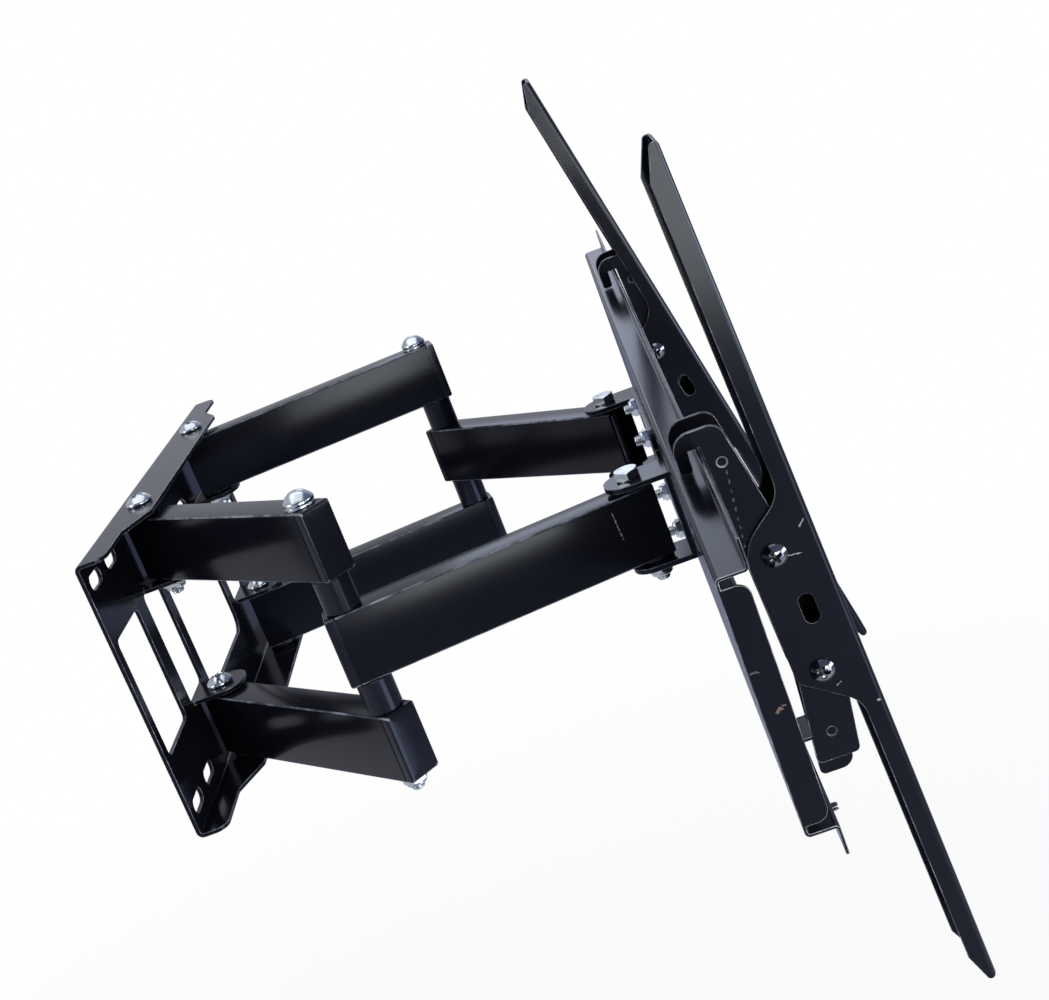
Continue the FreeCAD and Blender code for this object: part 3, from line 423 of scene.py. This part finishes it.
def hex_sides(flats, low, high):
    """Rows up the sides of a hexagon whose corners a cone of 30 degrees cuts at both ends.

    The radius at angle a is half the flats over cos b, where b is the angle from the nearest flat.
    """
    angle = round_angles()
    rim = flats / 2 / np.cos((angle + TURN / 12) % (TURN / 6) - TURN / 12)
    circle = 0.475 * flats
    drop = np.clip((rim - circle) * math.tan(math.radians(30)), 0, None)
    return [(circle, low), (rim, low + drop), (rim, high - drop), (circle, high)]


def hex_bolt(fit, shape):
    """Bolt down -Z from the underside of its hexagon head at z = 0; a washer face lies under the head."""
    flats, face = fit.wide * math.sqrt(3), 0.08 * fit.height
    rim = 0.46 * flats
    sides = hex_sides(flats, face, fit.height)
    head = [(0, fit.height), *sides[::-1], (rim, face), (rim, 0), (fit.shank, 0)]
    return joined([lathe(head), shank(fit.shank, fit.length, shape)])


def lock_nut(fit):
    """Hexagon nut up +Z with a rolled collar round a plastic ring on its far side."""
    flats, height, bore = fit.wide * math.sqrt(3), fit.height, fit.bore
    outer, body, roll = 0.455 * flats, 0.68 * height, 0.14 * height
    collar = arc((outer - roll, height - roll), roll, 0, 90, ROLL_POINTS)
    mouth, throat = (1.16 * bore, height), (1.1 * bore, 0.9 * height)
    inside = [(bore, 0.88 * height), (bore, 0)]
    return lathe([(bore, 0), *hex_sides(flats, 0, body), (outer, body), *collar, mouth, throat, *inside])


def washer(fit):
    """Flat ring up +Z with rounded outside edges."""
    soft = 0.22 * fit.height
    middle = fit.wide - soft
    lower = arc((middle, soft), soft, -90, 0, WASHER_POINTS)
    upper = arc((middle, fit.height - soft), soft, 0, 90, WASHER_POINTS)
    return lathe([(fit.bore, 0), *lower, *upper, (fit.bore, fit.height), (fit.bore, 0)])


def spacer(fit):
    """Tube up +Z with chamfered ends."""
    outer, height, chamfer = fit.wide, fit.height, 0.04 * fit.height
    return lathe([(fit.bore, 0), (outer - chamfer, 0), (outer, chamfer), (outer, height - chamfer),
                  (outer - chamfer, height), (fit.bore, height), (fit.bore, 0)])


# Pieces: a mesh with its place in its vertices, riding on a body

def link(name, mesh):
    """An object for a mesh, put into the scene."""
    piece = bpy.data.objects.new(name, mesh)
    bpy.context.scene.collection.objects.link(piece)
    return piece


def dress(piece, node, rubbed):
    """The piece stands in for a node, with its finish, body and slot; a true last argument adds a second material,
    a pale painted highlight along the edges, patchy like worn paint.
    """
    piece.data.materials.append(finish_of(node))
    if rubbed:
        piece.data.materials.append(worn_edge_highlight_finish())
    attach(piece, BODY_OF[node])
    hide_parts(node)


def made(name, surfaces, node, crease=TURNED_CREASE, rubbed=None):
    """A piece from surfaces: doubles merged, normals outwards and smooth below the crease angle.

    Where the last argument is given, it says for each quad whether it takes the pale painted edge highlight.
    """
    vertices, quads = joined(surfaces)
    mesh = bpy.data.meshes.new(name)
    mesh.vertices.add(len(vertices))
    mesh.vertices.foreach_set("co", np.ascontiguousarray(vertices, np.float32).ravel())
    mesh.loops.add(quads.size)
    mesh.loops.foreach_set("vertex_index", np.ascontiguousarray(quads, np.int32).ravel())
    mesh.polygons.add(len(quads))
    mesh.polygons.foreach_set("loop_start", np.arange(0, quads.size, 4, dtype=np.int32))
    if rubbed is not None:
        mesh.polygons.foreach_set("material_index", np.asarray(rubbed, np.int32).ravel())
    mesh.update(calc_edges=True)
    mesh.validate()
    solid = bmesh.new()
    solid.from_mesh(mesh)
    bmesh.ops.remove_doubles(solid, verts=solid.verts, dist=SAME_POINT)
    bmesh.ops.recalc_face_normals(solid, faces=solid.faces)
    solid.to_mesh(mesh)
    solid.free()
    mesh.shade_smooth()
    mesh.set_sharp_from_angle(angle=math.radians(crease))
    dress(link(name, mesh), node, rubbed is not None)


def softened(node, width):
    """A copy of a folded sheet's solid with its facets merged and a narrow rounding on its cut edges."""
    mesh = frame["nodes"][node].data.copy()
    mesh.materials.clear()
    solid = bmesh.new()
    solid.from_mesh(mesh)
    bmesh.ops.remove_doubles(solid, verts=solid.verts, dist=SAME_POINT)
    bmesh.ops.dissolve_limit(solid, angle_limit=FLAT_BEND, verts=solid.verts, edges=solid.edges)
    bmesh.ops.dissolve_degenerate(solid, dist=SHORT_EDGE, edges=solid.edges)
    solid.to_mesh(mesh)
    solid.free()
    mesh.shade_smooth()
    piece = link(node + "_sheet", mesh)
    edge = piece.modifiers.new("soft edges", "BEVEL")
    edge.width = width
    edge.segments = 2
    edge.limit_method = "ANGLE"
    edge.angle_limit = CUT_EDGE
    edge.harden_normals = True
    edge.use_clamp_overlap = False
    edge.loop_slide = False
    # The rounded cut edges take the second material: a pale painted highlight, patchy like worn paint
    edge.material = 1
    flats = piece.modifiers.new("flat faces", "WEIGHTED_NORMAL")
    flats.keep_sharp = True
    dress(piece, node, True)


# Places and sizes that the frame gives

def joint_place(name):
    """A joint's place as a point."""
    return np.array(JOINTS[name]["pos_m"])


def pivots():
    """Wall pivots, elbows and head pivots of each side; the head's lie evenly about the level joint."""
    left_head = joint_place("left_head_pivot")
    return {
        "wall": {"left": joint_place("fold"), "right": joint_place("right_wall_pivot")},
        "elbow": {side: joint_place(side + "_elbow") for side in SIDES},
        "head": {"left": left_head, "right": 2 * joint_place("level") - left_head},
    }


def corners(node):
    """A node's corner points as rows."""
    vertices = frame["nodes"][node].data.vertices
    points = np.empty(3 * len(vertices), np.float32)
    vertices.foreach_get("co", points)
    return points.reshape(-1, 3).astype(float)


def solids(node):
    """Corner points of each separate solid in a node.

    Corners that agree to a micrometre are one, and the lowest label spreads along edges until all settle.
    """
    points, place = np.unique(corners(node).round(6), axis=0, return_inverse=True)
    edges = frame["nodes"][node].data.edges
    ends = np.empty(2 * len(edges), np.int32)
    edges.foreach_get("vertices", ends)
    ends = place.ravel()[ends].reshape(-1, 2)
    label, settled = np.arange(len(points)), False
    while not settled:
        lower = label.copy()
        np.minimum.at(lower, ends, label[ends].min(axis=1, keepdims=True))
        settled = np.array_equal(lower, label)
        label = lower
    return [points[label == one] for one in np.unique(label)]


class Fit:
    """Sizes and place of a screw, nut, washer or spacer, read from its solid's corners along an axis.

    The spin turns a hexagon with a flat at angle 0 so that its corners meet the solid's.
    """

    def __init__(self, points, axis):
        turn = facing(axis)
        local = points @ turn
        middle = (local.min(axis=0) + local.max(axis=0)) / 2
        out = local[:, :2] - middle[:2]
        radius, along = np.hypot(*out.T), local[:, 2]
        foot = along.min()
        seat = along[radius > RIM_SHARE * radius.max()].min()
        self.wide = radius.max()
        self.bore = radius.min()
        self.shank = radius[along < foot + FOOT_SLICE].max()
        self.height = along.max() - seat
        self.length = seat - foot
        self.spin = np.arctan2(*out[radius.argmax()][::-1]) - TURN / 12
        self.seat = turn @ np.array([middle[0], middle[1], seat])
        self.foot = turn @ np.array([middle[0], middle[1], foot])


def fits(node, axis):
    """The sizes and places of all solids in a node."""
    return [Fit(points, axis) for points in solids(node)]


class TubeFit:
    """Size and place of an arm tube, read from its solid and its cap's: lengths run towards the elbow."""

    def __init__(self, tube, cap, start, elbow):
        self.run = (elbow - start) / np.linalg.norm(elbow - start)
        self.across = np.cross(UP, self.run)
        points = corners(tube) - start
        lengths, heights = points @ self.run, points @ UP
        self.width, self.height = np.ptp(points @ self.across), np.ptp(heights)
        self.plain_end = lengths.min()
        self.cap_end = ((corners(cap) - start) @ self.run).max()
        self.origin = start + UP * (heights.min() + heights.max()) / 2

    def placed(self, surface):
        """A surface drawn across X, Y and along Z, carried to the tube."""
        vertices, quads = surface
        return vertices @ np.stack([self.across, UP, self.run]) + self.origin, quads


def arms():
    """Each tube's node, its cap's node and its fit between the pivots at its plain and its capped end."""
    places = pivots()
    for side in SIDES:
        wall, elbow, head = (places[name][side] for name in ("wall", "elbow", "head"))
        for tube, cap, start in (("_upper_inner_tube", "_inner_end_caps", wall),
                                 ("_lower_inner_tube", "_inner_end_caps", wall),
                                 ("_outer_tube", "_outer_end_cap", head)):
            yield side + tube, side + cap, TubeFit(side + tube, side + cap, start, elbow)


# Shader maths

def opaque(colour):
    """A colour with its alpha."""
    return tuple(colour) + (1.0,)


class Value:
    """A shader socket with arithmetic: its operators add Math nodes."""

    def __init__(self, tree, socket):
        self.tree = tree
        self.socket = socket

    def math(self, operation, *others):
        """A Math node on this value and others."""
        return self.tree.node("ShaderNodeMath", {"operation": operation}, dict(enumerate((self,) + others)))

    def __add__(self, other):
        return self.math("ADD", other)

    def __radd__(self, other):
        return self.math("ADD", other)

    def __sub__(self, other):
        return self.math("SUBTRACT", other)

    def __rsub__(self, other):
        return (self * -1) + other

    def __mul__(self, other):
        return self.math("MULTIPLY", other)

    def __rmul__(self, other):
        return self.math("MULTIPLY", other)

    def between(self, start, end):
        """0 below start, 1 above end, smooth between them."""
        return self.tree.node("ShaderNodeMapRange", {"interpolation_type": "SMOOTHSTEP"},
                              {"Value": self, "From Min": start, "From Max": end})


class Tree:
    """The nodes of a material or world; node() is the one place that makes a node."""

    def __init__(self, owner):
        self.owner = owner
        owner.use_nodes = True
        self.nodes = owner.node_tree.nodes
        self.links = owner.node_tree.links
        self.nodes.clear()

    def node(self, kind, settings=None, sockets=None, output=0):
        """A node with its settings, then its sockets' values or links; returns one of its outputs."""
        new = self.nodes.new(kind)
        for key, value in (settings or {}).items():
            setattr(new, key, value)
        for key, value in (sockets or {}).items():
            if isinstance(value, Value):
                self.links.new(value.socket, new.inputs[key])
            else:
                new.inputs[key].default_value = value
        return Value(self, new.outputs[output]) if new.outputs else None

    def place(self):
        """Object coordinates."""
        return self.node("ShaderNodeTexCoord", output="Object")

    def vector(self, operation, sockets, output=0):
        """A Vector Math node; output is "Value" where its result is a number."""
        return self.node("ShaderNodeVectorMath", {"operation": operation}, sockets, output)

    def noise(self, scale, detail, roughness):
        """Noise on object coordinates, about 0.5."""
        sockets = {"Vector": self.place(), "Scale": scale, "Detail": detail, "Roughness": roughness}
        return self.node("ShaderNodeTexNoise", {}, sockets)

    def mix(self, share, first, second):
        """Two colours mixed by a share: a Mix node's sockets 0, 6 and 7 are the share and the colours."""
        sockets = {0: share}
        for key, colour in ((6, first), (7, second)):
            sockets[key] = colour if isinstance(colour, Value) else opaque(colour)
        return self.node("ShaderNodeMix", {"data_type": "RGBA"}, sockets, output=2)

    def bump(self, height, distance, strength):
        """Normals tilted by a height."""
        sockets = {"Height": height, "Distance": distance, "Strength": strength}
        return self.node("ShaderNodeBump", {}, sockets)

    def finish(self, **sockets):
        """Ends a material with its surface's sockets, an underscore standing for a space in their names."""
        named = {key.replace("_", " "): value for key, value in sockets.items()}
        shader = self.node("ShaderNodeBsdfPrincipled", {}, named)
        self.node("ShaderNodeOutputMaterial", {}, {"Surface": shader})
        return self.owner


def stroke(tree, scratch, ragged):
    """1 along a scratch: the distance to its segment, frayed by noise and cut into any dashes.

    The scratched faces look along X, so distance along X counts a tenth.
    """
    weigh = np.array([0.1, 1, 1])
    start, run = weigh * scratch.start * MM, weigh * np.subtract(scratch.end, scratch.start) * MM
    width, length = scratch.width * MM, np.linalg.norm(run)
    place = tree.vector("MULTIPLY", {0: tree.place(), 1: tuple(weigh)})
    offset = tree.vector("SUBTRACT", {0: place, 1: tuple(start)})
    along = tree.vector("DOT_PRODUCT", {0: offset, 1: tuple(run / length ** 2)}, "Value")
    held = tree.node("ShaderNodeClamp", {}, {"Value": along})
    nearest = tree.vector("SCALE", {0: tuple(run), "Scale": held})
    gap = tree.vector("DISTANCE", {0: offset, 1: nearest}, "Value")
    core, rim = 0.2 * width, 0.6 * width
    line = 1 - (gap + (ragged - 0.5) * (scratch.fray * width)).between(core, rim)
    if scratch.dash:
        beat = (along * (length / (scratch.dash * MM))).math("FRACT")
        dash_core, dash_end = 0.16, 0.26
        line = line * (1 - (beat - 0.5).math("ABSOLUTE").between(dash_core, dash_end))
    return line


def powder_coat(name, settings, scratches=()):
    """Glossy black powder coat: faint orange peel and dust, and the scratches that a piece shows."""
    tree = Tree(bpy.data.materials.new(name))
    peel = tree.noise(scale=1 / settings.peel, detail=2.0, roughness=0.55)
    grain = tree.noise(scale=6 / settings.peel, detail=1.0, roughness=0.5)
    cloud = tree.noise(scale=9.0, detail=3.0, roughness=0.6)
    paint = np.array(settings.paint)
    dusty = paint * 1.7 + 0.002
    colour = tree.mix(cloud.between(0.45, 0.75) * 0.35, paint, dusty)
    rough = settings.paint_roughness + (cloud - 0.5) * 0.1 + (grain - 0.5) * 0.04
    bump = tree.bump(peel * 0.7 + grain * 0.3, distance=0.00006, strength=0.16)
    if scratches:
        ragged = tree.noise(scale=900.0, detail=2.0, roughness=0.6)
        for scratch in scratches:
            mark = stroke(tree, scratch, ragged)
            colour = tree.mix(mark * 0.85, colour, getattr(settings, scratch.tone))
            rough = rough + mark * 0.3
    return tree.finish(Base_Color=colour, Roughness=rough, Normal=bump, Specular_IOR_Level=0.25,
                       Specular_Tint=opaque(settings.sheen))


def moulded_plastic(name, settings):
    """Black plastic with a fine grain and faint clouds."""
    tree = Tree(bpy.data.materials.new(name))
    grain = tree.noise(scale=2600.0, detail=2.0, roughness=0.6)
    cloud = tree.noise(scale=35.0, detail=2.0, roughness=0.5)
    colour = tree.mix(cloud * 0.5, settings.plastic, np.array(settings.plastic) * 1.8)
    bump = tree.bump(grain, distance=0.00003, strength=0.2)
    return tree.finish(Base_Color=colour, Roughness=0.2 + (grain - 0.5) * 0.12, Normal=bump,
                       Specular_IOR_Level=0.35, Specular_Tint=opaque(settings.sheen))


def worn_edge_highlight(name, settings):
    """A pale highlight painted along the edges of paint and plastic, patchy like worn paint: pale where noise is
    high, dark elsewhere.
    """
    tree = Tree(bpy.data.materials.new(name))
    worn_highlight_share = tree.noise(scale=70.0, detail=3.0, roughness=0.65).between(0.4, 0.7)
    grain = tree.noise(scale=1500.0, detail=2.0, roughness=0.6)
    edge = np.array(settings.edge)
    # Pale painted edge highlight where the noise is high, a darker edge colour elsewhere
    colour = tree.mix(worn_highlight_share, edge * 0.14, edge)
    return tree.finish(Base_Color=colour, Roughness=0.22 + (grain - 0.5) * 0.1, Specular_IOR_Level=0.5)


def plated(name, colour, roughness, tint):
    """Plated steel: a base tone clouded towards a tint, with fine scuffs in its gloss."""
    tree = Tree(bpy.data.materials.new(name))
    cloud = tree.noise(scale=160.0, detail=3.0, roughness=0.6)
    scuff = tree.noise(scale=2400.0, detail=3.0, roughness=0.65)
    shade = tree.mix(cloud.between(0.35, 0.7), colour, tint)
    bump = tree.bump(scuff, distance=0.00003, strength=0.3)
    return tree.finish(Base_Color=shade, Metallic=1.0, Roughness=roughness + (scuff - 0.5) * 0.16,
                       Normal=bump)


MATERIALS = {}


def finish_of(node):
    """The material of a node: its own where it has scratches, otherwise its slot's, made once."""
    settings, slot = bpy.context.scene.mount_finish, SLOT_OF[node]
    key = node if node in SCRATCHES else slot
    if key not in MATERIALS:
        if slot == "black_paint":
            MATERIALS[key] = powder_coat("powder coat of " + key, settings, SCRATCHES.get(node, ()))
        elif slot == "black_plastic":
            MATERIALS[key] = moulded_plastic("black moulded plastic", settings)
        elif slot == "zinc":
            MATERIALS[key] = plated("bright zinc", settings.zinc, roughness=0.2, tint=(0.47, 0.52, 0.52))
        else:
            MATERIALS[key] = plated("dark nickel", settings.nickel, roughness=0.13, tint=(0.19, 0.19, 0.2))
    return MATERIALS[key]


def worn_edge_highlight_finish():
    """The material of the pale painted edge highlights, patchy like worn paint, made once."""
    if "edge" not in MATERIALS:
        MATERIALS["edge"] = worn_edge_highlight("rubbed edges", bpy.context.scene.mount_finish)
    return MATERIALS["edge"]


# Operators, one for each group of pieces

class MOUNT_OT_sheets(bpy.types.Operator):
    """Round the cut edges of the folded sheets and paint them"""
    bl_idname = "mount.sheets"
    bl_label = "Folded sheets"

    def execute(self, context):
        for node in SHEETS:
            softened(node, context.scene.mount_shape.sheet_edge)
        return {"FINISHED"}


class MOUNT_OT_tubes(bpy.types.Operator):
    """Arm tubes: a rounded rectangle carried along each arm, with its wall shown at the open end"""
    bl_idname = "mount.tubes"
    bl_label = "Arm tubes"

    def execute(self, context):
        for tube, _, fit in arms():
            self.tube(tube, fit, context.scene.mount_shape)
        return {"FINISHED"}

    def tube(self, node, fit, shape):
        """Outlines out of the plain end, along the outside, into the capped end and back inside."""
        width, height, wall = fit.width, fit.height, shape.tube_wall
        outer = rounded_rectangle(width, height, shape.tube_corner)
        inner = rounded_rectangle(width - 2 * wall, height - 2 * wall, shape.tube_corner / 2)
        soft = wall / 6
        pulled = outer * (1 - 2 * soft / np.array([width, height]))
        near, far = fit.plain_end, fit.cap_end - shape.cap_rim
        rims = [inner, pulled, outer, outer, pulled, inner, inner]
        surface = carried(rims, [near, near, near + soft, far - soft, far, far, near])
        # The corners of the outside bands take the pale painted edge highlight
        outside = (1, 2, 3)
        made(node + "_steel", [fit.placed(surface)], node, rubbed=corner_quads(len(rims) - 1, outside))


class MOUNT_OT_caps(bpy.types.Operator):
    """Plastic end caps: a rim behind a narrow seam, a rounded edge and a faintly crowned face"""
    bl_idname = "mount.caps"
    bl_label = "End caps"

    def execute(self, context):
        caps = {}
        for _, cap, fit in arms():
            surface, rubbed = self.cap(fit, context.scene.mount_shape)
            caps.setdefault(cap, []).append((fit.placed(surface), rubbed))
        for node, pairs in caps.items():
            surfaces, rubbed = zip(*pairs)
            made(node + "_moulding", surfaces, node, CAP_CREASE, np.concatenate(rubbed))
        return {"FINISHED"}

    def cap(self, fit, shape):
        """A cap's surface, and for each of its quads whether it takes the pale painted edge highlight.

        Outlines are set in by some amount: the back, out of the seam, up the rim, round its edge and over
        the face, which rises as the sine of a quarter turn.
        """
        outline = rounded_rectangle(fit.width, fit.height, shape.tube_corner)
        seam, groove, top = fit.cap_end - shape.cap_rim, shape.cap_seam, fit.cap_end - shape.cap_crown
        start = np.array([fit.width / 2, groove, groove, groove / 4, 0])
        rise = seam + np.array([-1, -1, 1, 1, 1.25]) * groove
        edge = arc((shape.cap_edge, top - shape.cap_edge), shape.cap_edge, 180, 90, ROLL_POINTS)
        share = np.linspace(0, 1, FACE_ROWS + 1)[1:]
        face = edge[-1, 0] + share * (fit.width / 2 - edge[-1, 0])
        crown = top + shape.cap_crown * np.sin(share * TURN / 4)
        inset = np.concatenate([start, edge[:, 0], face])
        height = np.concatenate([rise, edge[:, 1], crown])
        rims = np.sign(outline) * np.maximum(np.abs(outline) - inset[:, None, None], 0)
        # Rows round the cap's edge take the pale painted edge highlight
        rounding = np.arange(len(edge)) + len(start) - 1
        return carried(rims, height), corner_quads(len(inset) - 1, rounding)


class MOUNT_OT_spacers(bpy.types.Operator):
    """Elbow spacers: tubes with chamfered ends"""
    bl_idname = "mount.spacers"
    bl_label = "Elbow spacers"

    def execute(self, context):
        for side in SIDES:
            node = side + "_elbow_spacers"
            made(node + "_turned", [moved(spacer(fit), fit.foot) for fit in fits(node, UP)], node)
        return {"FINISHED"}


class MOUNT_OT_screws(bpy.types.Operator):
    """Domed screws with cross recesses and rolled threads, the elbow bolts without a recess"""
    bl_idname = "mount.screws"
    bl_label = "Domed screws"

    def execute(self, context):
        shape = context.scene.mount_shape
        for node, axis in DOMED_SCREWS.items():
            rise = shape.head_rise if node in TALL_HEADS else 1
            screws = []
            for turn, fit in enumerate(fits(node, axis)):
                screw = domed_screw(fit, shape, rise * fit.height, node not in PLAIN_HEADS)
                screws.append(moved(screw, fit.seat, axis, FIRST_SPIN + turn))
            made(node + "_threaded", screws, node)
        return {"FINISHED"}


class MOUNT_OT_hex_bolts(bpy.types.Operator):
    """Hexagon bolts at the head pivots"""
    bl_idname = "mount.hex_bolts"
    bl_label = "Hexagon bolts"

    def execute(self, context):
        shape = context.scene.mount_shape
        for node, axis in HEX_BOLTS.items():
            bolts = [moved(hex_bolt(fit, shape), fit.seat, axis, fit.spin) for fit in fits(node, axis)]
            made(node + "_threaded", bolts, node, HEX_CREASE)
        return {"FINISHED"}


class MOUNT_OT_nuts(bpy.types.Operator):
    """Lock nuts with chamfered corners and rolled collars"""
    bl_idname = "mount.nuts"
    bl_label = "Lock nuts"

    def execute(self, context):
        for node, axis in NUTS.items():
            nuts = [moved(lock_nut(fit), fit.foot, axis, fit.spin) for fit in fits(node, axis)]
            made(node + "_rolled", nuts, node, HEX_CREASE)
        return {"FINISHED"}


class MOUNT_OT_washers(bpy.types.Operator):
    """Steel and plastic washers with rounded rims"""
    bl_idname = "mount.washers"
    bl_label = "Washers"

    def execute(self, context):
        for node, axis in WASHERS.items():
            made(node + "_stamped", [moved(washer(fit), fit.foot, axis) for fit in fits(node, axis)], node)
        return {"FINISHED"}


class MOUNT_OT_stage(bpy.types.Operator):
    """Pale floor, soft studio light and the camera"""
    bl_idname = "mount.stage"
    bl_label = "Stage"

    def execute(self, context):
        stage = context.scene.mount_stage
        self.floor(stage)
        self.world()
        self.lamps()
        self.camera(context.scene, stage)
        context.scene.view_settings.view_transform = "Standard"
        return {"FINISHED"}

    def backdrop_rays(self, tree, towards, side, start, end):
        """1 for rays from the camera, and a share for rays in gloss or through glass.

        The share grows from start to end along one side of the room.
        """
        seen = tree.node("ShaderNodeLightPath", output="Is Camera Ray")
        gloss = tree.node("ShaderNodeLightPath", output="Is Glossy Ray")
        through = tree.node("ShaderNodeLightPath", output="Is Transmission Ray")
        reach = tree.vector("DOT_PRODUCT", {0: towards, 1: side}, "Value")
        share = gloss.math("MAXIMUM", through) * reach.between(start, end) * GLOSS_SHARE
        return seen.math("MAXIMUM", share)

    def floor(self, stage):
        """Flat floor whose white keeps a share of its shading near the mount and none far off."""
        reach = np.linspace(-FLOOR_REACH, FLOOR_REACH, 3)
        x, y = np.meshgrid(reach, reach)
        vertices, quads = grid(np.stack([x, y, 0 * x - stage.floor_drop], axis=-1), False)
        mesh = bpy.data.meshes.new("floor")
        mesh.from_pydata(vertices.tolist(), [], quads.tolist())
        floor = link("floor", mesh)
        tree = Tree(bpy.data.materials.new("pale floor"))
        distance = tree.vector("LENGTH", {0: tree.place()}, "Value")
        near, far, shading = 1.3, 3.0, 0.08
        glow_share = 1 - (1 - distance.between(near, far)) * shading
        matt = tree.node("ShaderNodeBsdfDiffuse", {}, {"Color": opaque(stage.floor)})
        glow = tree.node("ShaderNodeEmission", {}, {"Color": WHITE, "Strength": 1.0})
        shown = self.backdrop_rays(tree, tree.place(), side=(0, 1, 0), start=0.3, end=2.0) * glow_share
        both = tree.node("ShaderNodeMixShader", {}, {0: shown, 1: matt, 2: glow})
        tree.node("ShaderNodeOutputMaterial", {}, {"Surface": both})
        mesh.materials.append(tree.owner)
        floor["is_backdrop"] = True

    def world(self):
        """White where the backdrop shows, and a dim blue room for all other rays."""
        tree = Tree(bpy.data.worlds.new("studio"))
        towards = tree.node("ShaderNodeTexCoord", output="Generated")
        white = tree.node("ShaderNodeBackground", {}, {"Color": WHITE, "Strength": 1.0})
        dim = tree.node("ShaderNodeBackground", {}, {"Color": DIM_ROOM, "Strength": 0.3})
        shown = self.backdrop_rays(tree, towards, side=(0.6, 0.8, 0), start=-0.4, end=0.5)
        both = tree.node("ShaderNodeMixShader", {}, {0: shown, 1: dim, 2: white})
        tree.node("ShaderNodeOutputWorld", {}, {"Surface": both})
        bpy.context.scene.world = tree.owner

    def lamps(self):
        """Softboxes that the camera doesn't see."""
        for box in SOFTBOXES:
            light = bpy.data.lights.new(box.name, "AREA")
            light.shape = "RECTANGLE"
            light.size = box.width
            light.size_y = box.height
            light.energy = box.power
            light.color = box.tint
            lamp = bpy.data.objects.new(box.name, light)
            lamp.location = box.place
            lamp.rotation_euler = (Vector(box.aim) - Vector(box.place)).to_track_quat("-Z", "Y").to_euler()
            lamp.visible_camera = False
            bpy.context.scene.collection.objects.link(lamp)

    def camera(self, scene, stage):
        """A camera that looks from its azimuth and elevation, turned by its roll."""
        back = Vector((math.sin(stage.azimuth) * math.cos(stage.elevation),
                       -math.cos(stage.azimuth) * math.cos(stage.elevation), math.sin(stage.elevation)))
        right = (-back).cross(Vector((0, 0, 1))).normalized()
        up = right.cross(-back)
        turn = Matrix.Rotation(stage.roll, 3, back)
        right, up = turn @ right, turn @ up
        data = bpy.data.cameras.new("camera")
        data.lens = stage.lens
        data.sensor_width = SENSOR_MM
        data.shift_x, data.shift_y = stage.shift
        data.clip_start = 10 * MM
        camera = bpy.data.objects.new("camera", data)
        axes = Matrix((right, up, back)).transposed().to_4x4()
        camera.matrix_world = Matrix.Translation(stage.eye) @ axes
        scene.collection.objects.link(camera)
        scene.camera = camera


class MOUNT_PT_panel(bpy.types.Panel):
    """Lists the pieces of the mount and their settings"""
    bl_idname = "MOUNT_PT_panel"
    bl_label = "Wall mount"
    bl_space_type = "VIEW_3D"
    bl_region_type = "UI"
    bl_category = "Mount"

    def draw(self, context):
        for operator in OPERATORS:
            self.layout.operator(operator.bl_idname)
        for group in GROUPS:
            settings = getattr(context.scene, group)
            for key in settings.__annotations__:
                self.layout.prop(settings, key)


GROUPS = {"mount_finish": FinishSettings, "mount_shape": ShapeSettings, "mount_stage": StageSettings}
OPERATORS = (MOUNT_OT_sheets, MOUNT_OT_tubes, MOUNT_OT_caps, MOUNT_OT_spacers, MOUNT_OT_screws,
             MOUNT_OT_hex_bolts, MOUNT_OT_nuts, MOUNT_OT_washers, MOUNT_OT_stage)


def register():
    for group in GROUPS.values():
        bpy.utils.register_class(group)
    for name, group in GROUPS.items():
        setattr(bpy.types.Scene, name, bpy.props.PointerProperty(type=group))
    for operator in OPERATORS:
        bpy.utils.register_class(operator)
    bpy.utils.register_class(MOUNT_PT_panel)


def unregister():
    bpy.utils.unregister_class(MOUNT_PT_panel)
    for operator in reversed(OPERATORS):
        bpy.utils.unregister_class(operator)
    for name in GROUPS:
        delattr(bpy.types.Scene, name)
    for group in reversed(list(GROUPS.values())):
        bpy.utils.unregister_class(group)


def main():
    register()
    bpy.ops.mount.sheets()
    bpy.ops.mount.tubes()
    bpy.ops.mount.caps()
    bpy.ops.mount.spacers()
    bpy.ops.mount.screws()
    bpy.ops.mount.hex_bolts()
    bpy.ops.mount.nuts()
    bpy.ops.mount.washers()
    bpy.ops.mount.stage()
    boxes = {"cad": CAD_BOX, "visual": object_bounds()}
    {key: [list(map(float, corner)) for corner in box] for key, box in boxes.items()}


if __name__ == "__main__":
    main()
